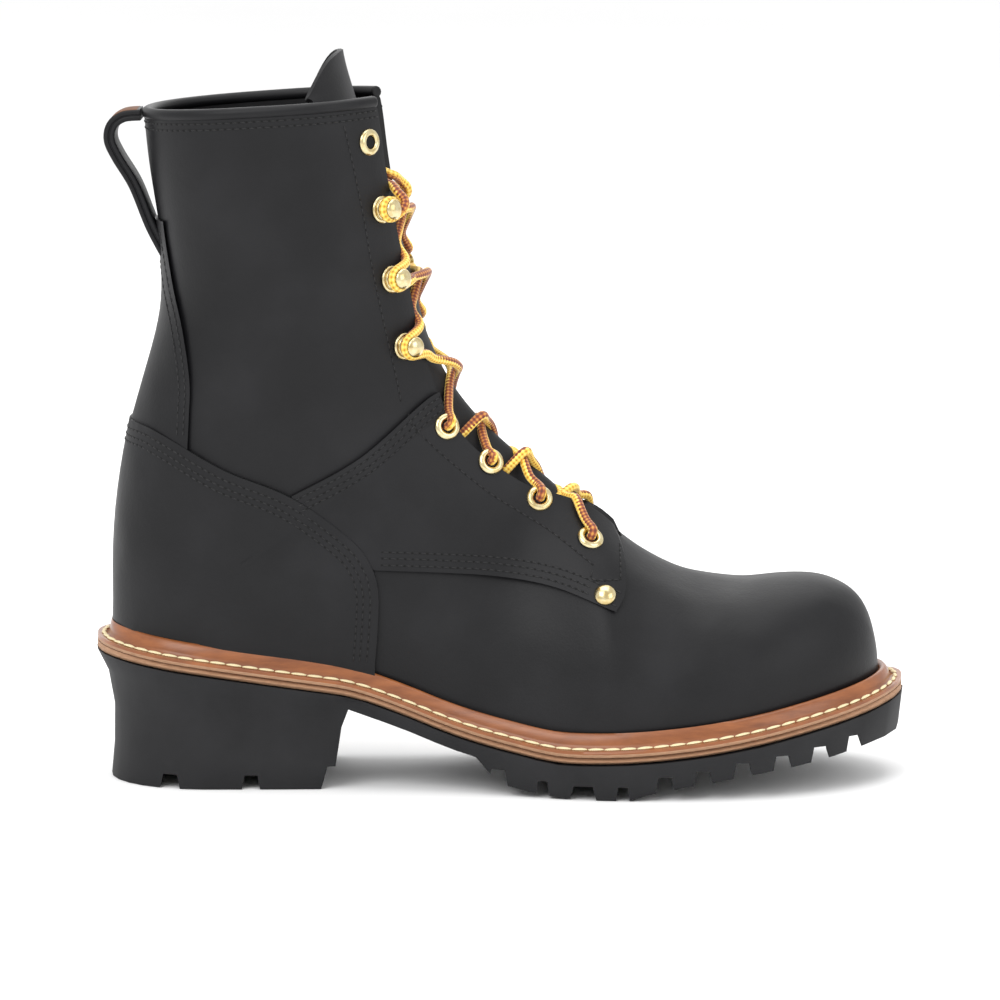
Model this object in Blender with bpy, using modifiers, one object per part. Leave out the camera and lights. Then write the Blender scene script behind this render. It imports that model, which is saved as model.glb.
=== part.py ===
"""Logger boot, right foot: lugged sole with a tall heel, welted leather upper, lace hardware.

Metres, +Z up. +X runs to the toe, +Y to the inner (medial) side, the heel and
forefoot stand on z = 0, and x = 0 is the middle of the sole's length.
"""
import math

import bmesh
import bpy
import numpy as np
from mathutils import Vector

# Driving dimensions
SOLE_LENGTH = 0.3100
BALL_WIDTH = 0.1120
SOLE_CENTRE_Y = 0.0026
FORE_THICKNESS = 0.0133
HEEL_LIFT = 0.0367
TOE_RISE = 0.0199
TOE_SPRING = 0.0190
ARCH_THICKNESS = 0.0056
MIDSOLE_THICKNESS = 0.0026
WELT_THICKNESS = 0.0024
WELT_BEAD_HEIGHT = 0.0058
WELT_SHELF = 0.0046
WELT_REACH = 0.0090
INSOLE_THICKNESS = 0.0030
UPPER_WALL = 0.0024
PIVOT_HEIGHT = 0.1830
VAMP_HEIGHT = 0.0830
COLLAR_HEIGHT = 0.2530
COLLAR_SLOPE = 0.0636
ACHILLES_SETBACK = 0.0205
SHAFT_WIDTH = 0.0860
ANKLE_WIDTH = 0.0720
THROAT_GAP = 0.0160
COLLAR_GAP = 0.0520
TONGUE_THICKNESS = 0.0022
TONGUE_RISE = 0.0180
TONGUE_CLEARANCE = 0.0020
TONGUE_WIDTH = 0.0700
TONGUE_LEAN = 0.0125
OVERLAY_THICKNESS = 0.0016
COUNTER_THICKNESS = 0.0022
BINDING_DIAMETER = 0.0044
LOOP_STRAP_THICKNESS = 0.0042
LOOP_STRAP_WIDTH = 0.0200
EYELET_DIAMETER = 0.0103
EYELET_HOLE = 0.0050
EYELET_HEIGHT = 0.0012
TOP_EYELET_DIAMETER = 0.0110
HOOK_BASE_DIAMETER = 0.0105
HOOK_CAP_DIAMETER = 0.0078
HOOK_HEIGHT = 0.0085
HOOK_MIDDLE = 0.44
RIVET_DIAMETER = 0.0084
RIVET_HEIGHT = 0.0022
LACE_DIAMETER = 0.0035
LACE_OVER = 0.37
BAR_SETBACK = 0.055
LUG_GROOVE_DEPTH = 0.0052
LUG_EDGE_WIDTH = 0.0170
CHANNEL_WIDTH = 0.0050
CLEARANCE = 0.0003

# Places along the sole are shares of its length, 0 at the heel and 1 at the toe.
# Half widths are shares of half the ball width, before the rounded ends.
OUTLINE_ROWS = (
    # share, lateral, medial
    (0.00, 0.70, 0.70),
    (0.12, 0.72, 0.70),
    (0.22, 0.715, 0.69),
    (0.31, 0.70, 0.655),
    (0.40, 0.74, 0.63),
    (0.50, 0.86, 0.69),
    (0.58, 0.98, 0.81),
    (0.66, 1.045, 0.915),
    (0.74, 1.035, 0.965),
    (0.82, 0.99, 0.95),
    (0.90, 0.93, 0.90),
    (1.00, 0.86, 0.84),
)
HEEL_ROUND = 0.135
TOE_ROUND = 0.235
TOE_POWER = 2.25
TOE_FULLNESS = 0.70
TOE_SWING = 0.06

# Under side of the midsole: share of HEEL_LIFT behind the ball, of TOE_RISE before it
MIDSOLE_ROWS = (
    # share, heel lift, toe rise
    (0.00, 1.00, 0.0),
    (0.12, 0.864, 0.0),
    (0.25, 0.706, 0.0),
    (0.315, 0.624, 0.0),
    (0.38, 0.447, 0.0),
    (0.445, 0.240, 0.0),
    (0.513, 0.095, 0.0),
    (0.584, 0.0, 0.0),
    (0.655, 0.0, 0.035),
    (0.729, 0.0, 0.140),
    (0.803, 0.0, 0.311),
    (0.877, 0.0, 0.543),
    (0.952, 0.0, 0.794),
    (1.00, 0.0, 1.00),
)
# Tread: share of TOE_SPRING that each place of the forefoot stands off the floor
TREAD_ROWS = (
    (0.498, 0.24),
    (0.52, 0.16),
    (0.56, 0.05),
    (0.595, 0.0),
    (0.655, 0.0),
    (0.69, 0.17),
    (0.739, 0.30),
    (0.785, 0.44),
    (0.839, 0.56),
    (0.897, 0.71),
    (0.948, 0.87),
    (1.00, 1.00),
)
HEEL_END = 0.281
BREAST_ROWS = (
    # share of length, share of the height under the midsole that is cut away
    (0.281, 0.0),
    (0.2885, 0.23),
    (0.2985, 0.24),
    (0.3045, 0.62),
    (0.3145, 0.855),
)
ARCH_END = 0.4700
LUG_GROOVES = (
    # share of length, width at the mouth in shares of the lug pitch
    (0.497, 0.42),
    (0.551, 0.30),
    (0.6, 0.60),
    (0.648, 0.30),
    (0.699, 0.42),
    (0.745, 0.42),
    (0.7935, 0.42),
    (0.842, 0.42),
    (0.889, 0.42),
    (0.932, 0.36),
)
LUG_PITCH = 0.0155
HEEL_GROOVES = (
    (0.0955, 0.46),
    (0.195, 0.42),
)
# Wall of the sole: share of its height from the top, share of the inset
HEEL_WALL_ROWS = ((0.0, 0.0), (0.16, 0.62), (0.45, 1.0), (0.75, 0.97), (1.0, 0.80))
HEEL_WALL_INSET = 0.0066
FORE_WALL_INSET = 0.0016

# Upper: ridge over the toe, share of VAMP_HEIGHT above the feather line
RIDGE_ROWS = (
    (0.6226, 1.020),
    (0.652, 0.900),
    (0.673, 0.835),
    (0.723, 0.730),
    (0.797, 0.642),
    (0.860, 0.608),
    (0.897, 0.572),
    (0.920, 0.522),
    (0.945, 0.430),
    (0.961, 0.290),
    (0.9675, 0.150),
)
TOE_TIP = 0.9685
# Fan of sections behind the pivot: angle from straight down, share of the pivot's first radius
FAN_ROWS = (
    # degrees, ridge radius, upper width, middle width, front round, exponent
    (0.0, 1.000, 0.985, 1.02, 0.92, 1.95),
    (8.0, 0.890, 0.950, 1.00, 0.90, 1.90),
    (20.0, 0.800, 0.860, 0.98, 0.85, 1.85),
    (36.0, 0.752, 0.880, 1.00, 0.75, 1.85),
    (50.0, 0.742, 0.960, 1.02, 0.62, 1.90),
    (65.0, 0.750, 1.040, 1.04, 0.50, 2.00),
    (78.0, 0.772, 1.080, 1.06, 0.44, 2.00),
    (90.0, 0.800, 1.110, 1.09, 0.42, 2.00),
)
# Shaft: share of the height from pivot to collar
SHAFT_ROWS = (
    # share, front distance, upper width, middle width
    (0.00, 0.800, 0.930, 0.910),
    (0.25, 0.841, 0.955, 0.940),
    (0.50, 0.879, 0.985, 0.970),
    (0.75, 0.914, 1.020, 0.995),
    (1.00, 0.938, 1.060, 1.020),
    (1.30, 0.968, 1.070, 1.030),
)
# Back line: share of height from the heel's feather line to the collar, share of the setback
BACK_ROWS = (
    (0.00, 0.02),
    (0.127, -0.03),
    (0.20, 0.0),
    (0.275, 0.08),
    (0.349, 0.19),
    (0.404, 0.31),
    (0.458, 0.47),
    (0.533, 0.70),
    (0.640, 0.96),
    (0.750, 0.93),
    (0.893, 0.72),
    (1.00, 0.62),
    (1.20, 0.55),
)
BACK_ROUND = 0.0440
HEEL_BACK = 0.0226

# Side outlines of the overlays: share of sole length, height in shares of COLLAR_HEIGHT
COUNTER_EDGE = (
    (-0.02, 0.545),
    (0.052, 0.545),
    (0.094, 0.529),
    (0.166, 0.484),
    (0.245, 0.444),
    (0.317, 0.380),
    (0.342, 0.341),
    (0.3512, 0.304),
    (0.3512, 0.259),
    (0.3470, 0.207),
)
QUARTER_EDGE = (
    (0.247, 0.4453),
    (0.330, 0.500),
    (0.415, 0.586),
    (0.452, 0.592),
    (0.520, 0.600),
    (0.700, 0.470),
    (0.650, 0.373),
    (0.652, 0.345),
    (0.652, 0.300),
    (0.640, 0.274),
    (0.572, 0.304),
    (0.500, 0.319),
    (0.415, 0.328),
    (0.3475, 0.333),
    (0.344, 0.343),
    (0.319, 0.382),
)
STAY_EDGE = (
    (-0.02, 0.548),
    (0.053, 0.5475),
    (0.094, 0.5315),
    (0.120, 0.517),
    (0.122, 0.560),
    (0.123, 0.615),
    (0.114, 0.688),
    (0.102, 0.750),
    (0.093, 0.815),
    (0.090, 0.848),
    (-0.02, 0.848),
)
# Hardware of one side: share of sole length, height in shares of COLLAR_HEIGHT
EYELET_PLACES = ((0.6100, 0.3745), (0.5480, 0.4300), (0.4884, 0.4858), (0.4348, 0.5400))
TOP_EYELET_PLACE = (0.3420, 0.9700)
HOOK_PLACES = ((0.3832, 0.6640), (0.3677, 0.7652), (0.3561, 0.8692))
RIVET_PLACE = (0.6271, 0.2976)
# Hidden end of the lace from the top hook: rise up the throat, share of the hook's distance
# from the centre line, height off the closed shape
LACE_END_ROUTE = (
    (0.00, 0.885, 0.0042),
    (0.03, 0.66, 0.0041),
    (0.07, 0.50, 0.0022),
    (0.12, 0.44, -0.0014),
    (0.17, 0.52, -0.0046),
    (0.23, 0.62, -0.0053),
    (0.30, 0.72, -0.0055),
    (0.36, 0.78, -0.0056),
)


def along(share):
    """X of a share of the sole's length."""
    return SOLE_LENGTH * (share - 0.5)


def share_of(x):
    """Share of the sole's length at an x."""
    return x / SOLE_LENGTH + 0.5


def smooth_table(rows, column):
    """Smooth curve through one column of a table, over the first column."""
    xs = np.array([row[0] for row in rows], dtype=float)
    ys = np.array([row[column] for row in rows], dtype=float)
    steps = np.diff(xs)
    slopes = np.diff(ys) / steps
    tangents = np.zeros(len(xs))
    tangents[0] = slopes[0]
    tangents[-1] = slopes[-1]
    for i in range(1, len(xs) - 1):
        if slopes[i - 1] * slopes[i] > 0.0:
            before = 2.0 * steps[i] + steps[i - 1]
            after = steps[i] + 2.0 * steps[i - 1]
            tangents[i] = (before + after) / (before / slopes[i - 1] + after / slopes[i])

    def value(x):
        x = min(max(x, xs[0]), xs[-1])
        i = min(int(np.searchsorted(xs, x, side="right")) - 1, len(steps) - 1)
        t = (x - xs[i]) / steps[i]
        a = (1.0 + 2.0 * t) * (1.0 - t) ** 2
        b = t * (1.0 - t) ** 2
        c = t * t * (3.0 - 2.0 * t)
        d = t * t * (t - 1.0)
        return float(a * ys[i] + b * steps[i] * tangents[i] + c * ys[i + 1] + d * steps[i] * tangents[i + 1])

    return value


OUTLINE = {-1: smooth_table(OUTLINE_ROWS, 1), 1: smooth_table(OUTLINE_ROWS, 2)}
MIDSOLE_LIFT = smooth_table(MIDSOLE_ROWS, 1)
MIDSOLE_TOE = smooth_table(MIDSOLE_ROWS, 2)
TREAD = smooth_table(TREAD_ROWS, 1)
RIDGE = smooth_table(RIDGE_ROWS, 1)
BACK = smooth_table(BACK_ROWS, 1)
FAN = [smooth_table(FAN_ROWS, column) for column in range(1, 6)]
SHAFT = [smooth_table(SHAFT_ROWS, column) for column in range(1, 4)]


def nose(distance, length, power=2.1):
    """Rounded end of an outline: 0 at the tip, 1 past the length."""
    t = min(max(distance / length, 0.0), 1.0)
    return (1.0 - (1.0 - t) ** power) ** (1.0 / power)


def centre_line(x):
    """Y of the middle of the outline, swung to the inner side at the toe."""
    t = max(share_of(x) - 0.75, 0.0) / 0.25
    return SOLE_CENTRE_Y + TOE_SWING * 0.5 * BALL_WIDTH * t * t


def outline_y(x, side, inset=0.0):
    """Signed y of the sole's outline, or of a line inside it, on one side (-1 lateral, 1 medial)."""
    half = OUTLINE[side](share_of(x)) * 0.5 * BALL_WIDTH - inset
    from_heel = x - (along(0.0) + inset)
    from_toe = along(1.0) - inset - x
    half *= nose(from_heel, HEEL_ROUND * SOLE_LENGTH - 0.5 * inset)
    half *= nose(from_toe, TOE_ROUND * SOLE_LENGTH - 0.5 * inset, TOE_POWER)
    return centre_line(x) + side * half


def midsole_bottom(x):
    """Height of the line between outsole and midsole."""
    s = share_of(x)
    return FORE_THICKNESS + HEEL_LIFT * MIDSOLE_LIFT(s) + TOE_RISE * MIDSOLE_TOE(s)


def welt_bottom(x):
    """Height of the welt's under side."""
    return midsole_bottom(x) + MIDSOLE_THICKNESS + CLEARANCE


def feather(x):
    """Height of the upper's lower edge, seated on the midsole inside the welt."""
    return welt_bottom(x) + 2.0 * CLEARANCE


PIVOT_X = along(RIDGE_ROWS[0][0])
TOE_X = along(TOE_TIP)
HEEL_X = along(HEEL_BACK)
FIRST_RADIUS = PIVOT_HEIGHT - feather(PIVOT_X) - RIDGE_ROWS[0][1] * VAMP_HEIGHT
HEEL_FEATHER = feather(HEEL_X)


def back_x(z):
    """X of the upper's back line at a height."""
    share = (z - HEEL_FEATHER) / (COLLAR_HEIGHT - HEEL_FEATHER)
    return HEEL_X + ACHILLES_SETBACK * BACK(share)


def fan_end(angle):
    """Distance from the pivot to the feather line, or to the back line above the heel."""
    low = 0.5 * FIRST_RADIUS
    high = 2.0 * SOLE_LENGTH
    for _ in range(40):
        mid = 0.5 * (low + high)
        x = PIVOT_X - mid * math.sin(angle)
        z = PIVOT_HEIGHT - mid * math.cos(angle)
        if x > HEEL_X - BACK_ROUND and z > feather(x) and x > back_x(z):
            low = mid
        else:
            high = mid
    return 0.5 * (low + high)


FAN_ANGLES = np.linspace(0.0, 0.5 * math.pi, 91)
FAN_ENDS = np.array([fan_end(float(a)) for a in FAN_ANGLES])


def feather_half(x, side):
    """Half width of the feather line about the centre line, without the heel's rounding."""
    half = OUTLINE[side](share_of(x)) * 0.5 * BALL_WIDTH - WELT_REACH
    return half * nose(TOE_X - x, TOE_ROUND * SOLE_LENGTH, TOE_POWER)


def ankle_blend(x):
    """0 in the forefoot and 1 at the ankle, for widths that pass from sole to shaft."""
    t = min(max((PIVOT_X - x) / (PIVOT_X - along(0.25)), 0.0), 1.0)
    return t * t * (3.0 - 2.0 * t)


def section(x, z, side):
    """Half width of the upper about its centre line at a place in the side view."""
    if x >= PIVOT_X:
        top = feather(x) + VAMP_HEIGHT * RIDGE(share_of(x))
        length = max(top - feather(x), 1e-6)
        t = min(max((top - z) / length, 0.0), 1.0)
        low = feather_half(x, side)
        fullness = 1.0 + 0.05 * math.sin(math.pi * t)
        toe_share = (share_of(x) - share_of(PIVOT_X)) / (TOE_TIP - share_of(PIVOT_X))
        return low * fullness * nose(t, FAN[3](0.0), FAN[4](0.0) + TOE_FULLNESS * toe_share)
    if z <= PIVOT_HEIGHT:
        angle = math.atan2(PIVOT_X - x, PIVOT_HEIGHT - z)
        radius = math.hypot(PIVOT_X - x, PIVOT_HEIGHT - z)
        degrees = math.degrees(angle)
        start = FIRST_RADIUS * FAN[0](degrees)
        end = float(np.interp(angle, FAN_ANGLES, FAN_ENDS))
        t = min(max((radius - start) / (end - start), 0.0), 1.0)
        foot_x = PIVOT_X - end * math.sin(angle)
        low = feather_half(foot_x, side)
        ankle = 0.5 * ANKLE_WIDTH
        base = low + (ankle - low) * ankle_blend(foot_x)
        upper = base * FAN[1](degrees)
        middle = base * FAN[2](degrees)
        end_half = low
        fullness = FAN[3](degrees)
        power = FAN[4](degrees)
        shaft_share = max(degrees - 65.0, 0.0) / 25.0
        shaft_half = 0.5 * SHAFT_WIDTH
        target = shaft_half * SHAFT[1](0.0)
        upper += (target - upper) * shaft_share
        middle += (shaft_half * SHAFT[2](0.0) - middle) * shaft_share
        end_half += (shaft_half * SHAFT[2](0.0) - end_half) * shaft_share
    else:
        share = (z - PIVOT_HEIGHT) / (COLLAR_HEIGHT - PIVOT_HEIGHT)
        start = FIRST_RADIUS * SHAFT[0](share)
        end = PIVOT_X - back_x(z)
        t = min(max((PIVOT_X - x - start) / (end - start), 0.0), 1.0)
        upper = 0.5 * SHAFT_WIDTH * SHAFT[1](share)
        middle = 0.5 * SHAFT_WIDTH * SHAFT[2](share)
        end_half = middle
        fullness = FAN[3](90.0)
        power = FAN[4](90.0)
    if t < 0.35:
        half = upper
    elif t < 0.65:
        u = (t - 0.35) / 0.30
        half = upper + (middle - upper) * u * u * (3.0 - 2.0 * u)
    else:
        u = (t - 0.65) / 0.35
        half = middle + (end_half - middle) * u * u * (3.0 - 2.0 * u)
    half *= nose(t, fullness, power)
    return half * nose(x - back_x(z), BACK_ROUND)


def skin(x, z, side):
    """Point of the upper's outer surface at a place in the side view."""
    return Vector((x, centre_line(x) + side * section(x, z, side), z))


def skin_normal(x, z, side):
    """Outward direction of the upper's surface at a place in the side view."""
    step = 0.0008
    along_x = skin(x + step, z, side) - skin(x - step, z, side)
    along_z = skin(x, z + step, side) - skin(x, z - step, side)
    normal = along_x.cross(along_z) * side * -1.0
    return normal.normalized()


# Rows and columns of the sections
TOE_FACES = 8
VAMP_FACES = 5
SOLE_END_FACES = 7
SIDE_COLUMNS = 10
THROAT_SHARE = 0.648
HEEL_FAN_SHARES = (0.565, 0.50, 0.43, 0.355, 0.28, 0.21, 0.15, 0.105, 0.070, 0.045, 0.030)
ANKLE_DEGREES = (61.0, 68.0, 76.0, 84.0)
SHAFT_LEVELS = (0.0, 0.25, 0.5, 0.75, 1.0)


def new_material(name, colour, roughness, metallic=0.0):
    """Plain Principled material."""
    material = bpy.data.materials.new(name)
    material.use_nodes = True
    shader = material.node_tree.nodes["Principled BSDF"]
    shader.inputs["Base Color"].default_value = (*colour, 1.0)
    shader.inputs["Roughness"].default_value = roughness
    shader.inputs["Metallic"].default_value = metallic
    return material


def collection(name):
    """New collection in the scene."""
    made = bpy.data.collections.new(name)
    bpy.context.scene.collection.children.link(made)
    return made


def mesh_object(name, bm, home, material=None, smooth=True):
    """Object from a bmesh, with outward normals."""
    mesh = bpy.data.meshes.new(name)
    bmesh.ops.recalc_face_normals(bm, faces=bm.faces)
    bm.to_mesh(mesh)
    bm.free()
    if material:
        mesh.materials.append(material)
    if smooth:
        mesh.shade_smooth()
        mesh.set_sharp_from_angle(angle=math.radians(35.0))
    made = bpy.data.objects.new(name, mesh)
    home.objects.link(made)
    return made


def cut(target, cutter, operation="DIFFERENCE"):
    """Exact Boolean of one object with a hidden cutter."""
    cutter.hide_render = True
    cutter.display_type = "WIRE"
    modifier = target.modifiers.new(cutter.name, "BOOLEAN")
    modifier.operation = operation
    modifier.solver = "EXACT"
    modifier.object = cutter


def rounded(count):
    """Shares from 0 to 1, close together at 0."""
    return [1.0 - math.cos(0.5 * math.pi * i / count) for i in range(count + 1)]


def sole_stations():
    """Places along the sole, close together at its rounded ends."""
    heel = [HEEL_ROUND * u for u in rounded(SOLE_END_FACES)]
    toe = [1.0 - TOE_ROUND * u for u in reversed(rounded(SOLE_END_FACES))]
    middle = [row[0] for row in BREAST_ROWS]
    middle += [0.20, 0.24, 0.335, 0.36, 0.39, 0.42, 0.445, ARCH_END, 0.498, 0.52, 0.545, 0.57, 0.595, 0.625]
    middle += [0.655, 0.69, 0.725]
    return sorted(heel + middle + toe)


def drawn_in(share, inset):
    """X of a station whose place moves with the inset at the rounded ends alone."""
    heel = max(1.0 - share / HEEL_ROUND, 0.0)
    toe = max(1.0 - (1.0 - share) / TOE_ROUND, 0.0)
    return along(share) + inset * (heel - toe)


def outline_ring(inset):
    """Outline of the sole, inset all round: lateral and medial points by station."""
    sides = {-1: [], 1: []}
    for share in sole_stations():
        x = drawn_in(share, inset)
        for side in sides:
            sides[side].append((x, outline_y(x, side, inset)))
    return sides


def upper_ring(heights, offset):
    """Outline of the upper near its feather line, as wide as the widest of some heights."""
    sides = {-1: [], 1: []}
    back = HEEL_X - offset
    front = TOE_X + offset
    for share in sole_stations():
        x = back + share * (front - back)
        inner_x = HEEL_X + share * (TOE_X - HEEL_X)
        for side in sides:
            halves = [section(inner_x, feather(inner_x) + height, side) for height in heights]
            widest = max(halves) if offset > 0.0 else min(halves)
            reach = offset * (0.0 if widest < abs(offset) else 1.0)
            sides[side].append((x, centre_line(x) + side * (widest + reach)))
    return sides


def add_ring(bm, sides, height):
    """Vertices of a ring; its two ends are shared by both sides."""
    last = len(sides[-1]) - 1
    ring = {-1: [], 1: []}
    for i, (x, y) in enumerate(sides[-1]):
        if i in (0, last):
            y = centre_line(x)
        ring[-1].append(bm.verts.new((x, y, height(x))))
    for i, (x, y) in enumerate(sides[1]):
        shared = i in (0, last)
        ring[1].append(ring[-1][i] if shared else bm.verts.new((x, y, height(x))))
    return ring


def join_rings(bm, first, second):
    """Wall between two rings."""
    for side in (-1, 1):
        for i in range(len(first[side]) - 1):
            corners = [first[side][i], first[side][i + 1], second[side][i + 1], second[side][i]]
            bm.faces.new(corners if side < 0 else corners[::-1])


def close_ring(bm, ring):
    """Flat strips across a ring."""
    last = len(ring[-1]) - 1
    for i in range(last):
        corners = [ring[-1][i], ring[-1][i + 1], ring[1][i + 1], ring[1][i]]
        unique = list(dict.fromkeys(corners))
        bm.faces.new(unique)


def tread_height(x):
    """Height of the outsole's under side."""
    share = share_of(x)
    top = midsole_bottom(x)
    if share <= HEEL_END:
        return 0.0
    if share <= BREAST_ROWS[-1][0]:
        xs = [row[0] for row in BREAST_ROWS]
        cuts = [row[1] for row in BREAST_ROWS]
        return top * float(np.interp(share, xs, cuts))
    if share <= ARCH_END:
        return top - ARCH_THICKNESS
    start = TREAD_ROWS[0][0]
    if share < start:
        low = midsole_bottom(along(ARCH_END)) - ARCH_THICKNESS
        high = TOE_SPRING * TREAD(start)
        return low + (high - low) * (share - ARCH_END) / (start - ARCH_END)
    return TOE_SPRING * TREAD(share)


def sole_inset(x, level):
    """How far the sole's wall stands in at one level of its height."""
    depths = [row[0] for row in HEEL_WALL_ROWS]
    shares = [row[1] for row in HEEL_WALL_ROWS]
    heel = HEEL_WALL_INSET * float(np.interp(level, depths, shares))
    fore = FORE_WALL_INSET * level
    blend = min(max((share_of(x) - BREAST_ROWS[0][0]) / 0.05, 0.0), 1.0)
    return heel + (fore - heel) * blend


def level_ring(level):
    """Outline of the outsole at one level of its height."""
    sides = {-1: [], 1: []}
    for side in sides:
        for share in sole_stations():
            inset = sole_inset(along(share), level)
            x = drawn_in(share, inset)
            sides[side].append((x, outline_y(x, side, inset)))
    return sides


def build_outsole(home, tools, material):
    """Moulded rubber sole and heel with lugs cut from its forefoot."""
    bm = bmesh.new()
    rings = []
    for level, _ in HEEL_WALL_ROWS:
        def height(x, level=level):
            top = midsole_bottom(x) - CLEARANCE
            return top + (tread_height(x) - top) * level
        rings.append(add_ring(bm, level_ring(level), height))
    for higher, lower in zip(rings, rings[1:]):
        join_rings(bm, higher, lower)
    close_ring(bm, rings[0])
    close_ring(bm, rings[-1])
    outsole = mesh_object("outsole", bm, home, material)
    cut(outsole, lug_grooves(tools))
    for side in (-1, 1):
        cut(outsole, lug_channel(tools, side))
    return outsole


def lug_grooves(tools):
    """Cross grooves between the lugs, wider at the mouth."""
    bm = bmesh.new()
    for share, width in LUG_GROOVES + HEEL_GROOVES:
        x = along(share)
        mouth = width * LUG_PITCH
        depth = LUG_GROOVE_DEPTH
        floor = tread_height(x)
        made = bmesh.ops.create_cube(bm, size=1.0)["verts"]
        for vert in made:
            lift = vert.co.z + 0.5
            reach = mouth * (1.35 - 0.6 * lift)
            vert.co.x = x + vert.co.x * reach
            vert.co.y = vert.co.y * 2.0 * BALL_WIDTH
            vert.co.z = floor - depth + lift * 2.0 * depth
    return mesh_object("lug_grooves", bm, tools, smooth=False)


def lug_channel(tools, side):
    """Long groove behind the row of edge lugs on one side."""
    bm = bmesh.new()
    shares = np.linspace(0.512, 0.925, 12)
    loops = []
    for share in shares:
        x = along(float(share))
        middle = outline_y(x, side, LUG_EDGE_WIDTH)
        low = tread_height(x) - LUG_GROOVE_DEPTH
        high = tread_height(x) + 0.9 * LUG_GROOVE_DEPTH
        half = 0.5 * CHANNEL_WIDTH
        corners = ((-half, low), (half, low), (half, high), (-half, high))
        loops.append([bm.verts.new((x, middle + dy, z)) for dy, z in corners])
    for first, second in zip(loops, loops[1:]):
        for i in range(4):
            j = (i + 1) % 4
            bm.faces.new((first[i], first[j], second[j], second[i]))
    bm.faces.new(loops[0])
    bm.faces.new(loops[-1])
    name = "lug_channel_lateral" if side < 0 else "lug_channel_medial"
    return mesh_object(name, bm, tools, smooth=False)


def build_layer(name, home, material, sides, low, high):
    """Flat layer between two heights inside one outline."""
    bm = bmesh.new()
    bottom = add_ring(bm, sides, low)
    top = add_ring(bm, sides, high)
    join_rings(bm, bottom, top)
    close_ring(bm, bottom)
    close_ring(bm, top)
    return mesh_object(name, bm, home, material)


def welt_top(x):
    """Height of the welt's stitched shelf."""
    return welt_bottom(x) + WELT_THICKNESS


def bead_top(x):
    """Height of the welt's bead against the upper."""
    return welt_top(x) + WELT_BEAD_HEIGHT


def build_welt(home, material):
    """Ring with a flat shelf outside and a raised bead against the upper."""
    bm = bmesh.new()
    inner = upper_ring((0.0, 0.5 * WELT_BEAD_HEIGHT, WELT_THICKNESS + WELT_BEAD_HEIGHT), 2.2 * CLEARANCE)
    shelf = outline_ring(WELT_SHELF)
    crest = {side: [] for side in (-1, 1)}
    for side in (-1, 1):
        for (ax, ay), (bx, by) in zip(shelf[side], inner[side]):
            crest[side].append((0.45 * ax + 0.55 * bx, 0.45 * ay + 0.55 * by))
    shoulder = {side: [] for side in (-1, 1)}
    for side in (-1, 1):
        for (ax, ay), (bx, by) in zip(shelf[side], inner[side]):
            shoulder[side].append((0.88 * ax + 0.12 * bx, 0.88 * ay + 0.12 * by))
    rings = [
        add_ring(bm, inner, welt_bottom),
        add_ring(bm, outline_ring(0.0), welt_bottom),
        add_ring(bm, outline_ring(0.0), welt_top),
        add_ring(bm, shelf, welt_top),
        add_ring(bm, shoulder, lambda x: welt_top(x) + 0.6 * WELT_BEAD_HEIGHT),
        add_ring(bm, crest, bead_top),
        add_ring(bm, inner, lambda x: welt_top(x) + 0.9 * WELT_BEAD_HEIGHT),
    ]
    for first, second in zip(rings, rings[1:] + rings[:1]):
        join_rings(bm, first, second)
    return mesh_object("welt", bm, home, material)


class Section:
    """One line over the upper, from the ridge to the feather line or the back."""

    def __init__(self, place, gap, is_open):
        self.place = place
        self.gap = gap
        self.is_open = is_open

    def share_at(self, half, side):
        """Share along the section where the upper is that wide."""
        low = 0.0
        high = 0.6
        for _ in range(30):
            mid = 0.5 * (low + high)
            x, z = self.place(mid)
            if section(x, z, side) < half:
                low = mid
            else:
                high = mid
        return 0.5 * (low + high)

    def point(self, share, side):
        """Point of the outer surface."""
        x, z = self.place(share)
        return skin(x, z, side)


def fore_section(x, throat):
    """Vertical section before the pivot."""
    low = feather(x)
    top = low + VAMP_HEIGHT * RIDGE(share_of(x))
    half = min(0.5 * THROAT_GAP, 0.32 * feather_half(x, -1))
    return Section(lambda s: (x, top + (low - top) * s), half, throat)


def fan_section(angle, end, gap):
    """Section in a plane through the pivot."""
    start = FIRST_RADIUS * FAN[0](math.degrees(angle))

    def place(s):
        radius = start + (end - start) * s
        return PIVOT_X - radius * math.sin(angle), PIVOT_HEIGHT - radius * math.cos(angle)

    return Section(place, gap, True)


def shaft_section(level, gap, trim=0.0):
    """Near level section of the shaft, sloped more towards the collar."""
    def place(s):
        z = PIVOT_HEIGHT + level * (COLLAR_HEIGHT - PIVOT_HEIGHT)
        x = PIVOT_X
        for _ in range(4):
            share = (z - PIVOT_HEIGHT) / (COLLAR_HEIGHT - PIVOT_HEIGHT)
            front = PIVOT_X - FIRST_RADIUS * SHAFT[0](share)
            back = back_x(z)
            x = front + (back - front) * s
            rise = COLLAR_SLOPE * (x - back_x(COLLAR_HEIGHT)) * level
            z = PIVOT_HEIGHT + level * (COLLAR_HEIGHT - PIVOT_HEIGHT) + rise - trim
        return x, z

    return Section(place, gap, True)


def throat_gap(u):
    """Half of the throat's opening, from its foot (0) to the collar (1)."""
    return 0.5 * (THROAT_GAP + (COLLAR_GAP - THROAT_GAP) * u ** 0.8)


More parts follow.
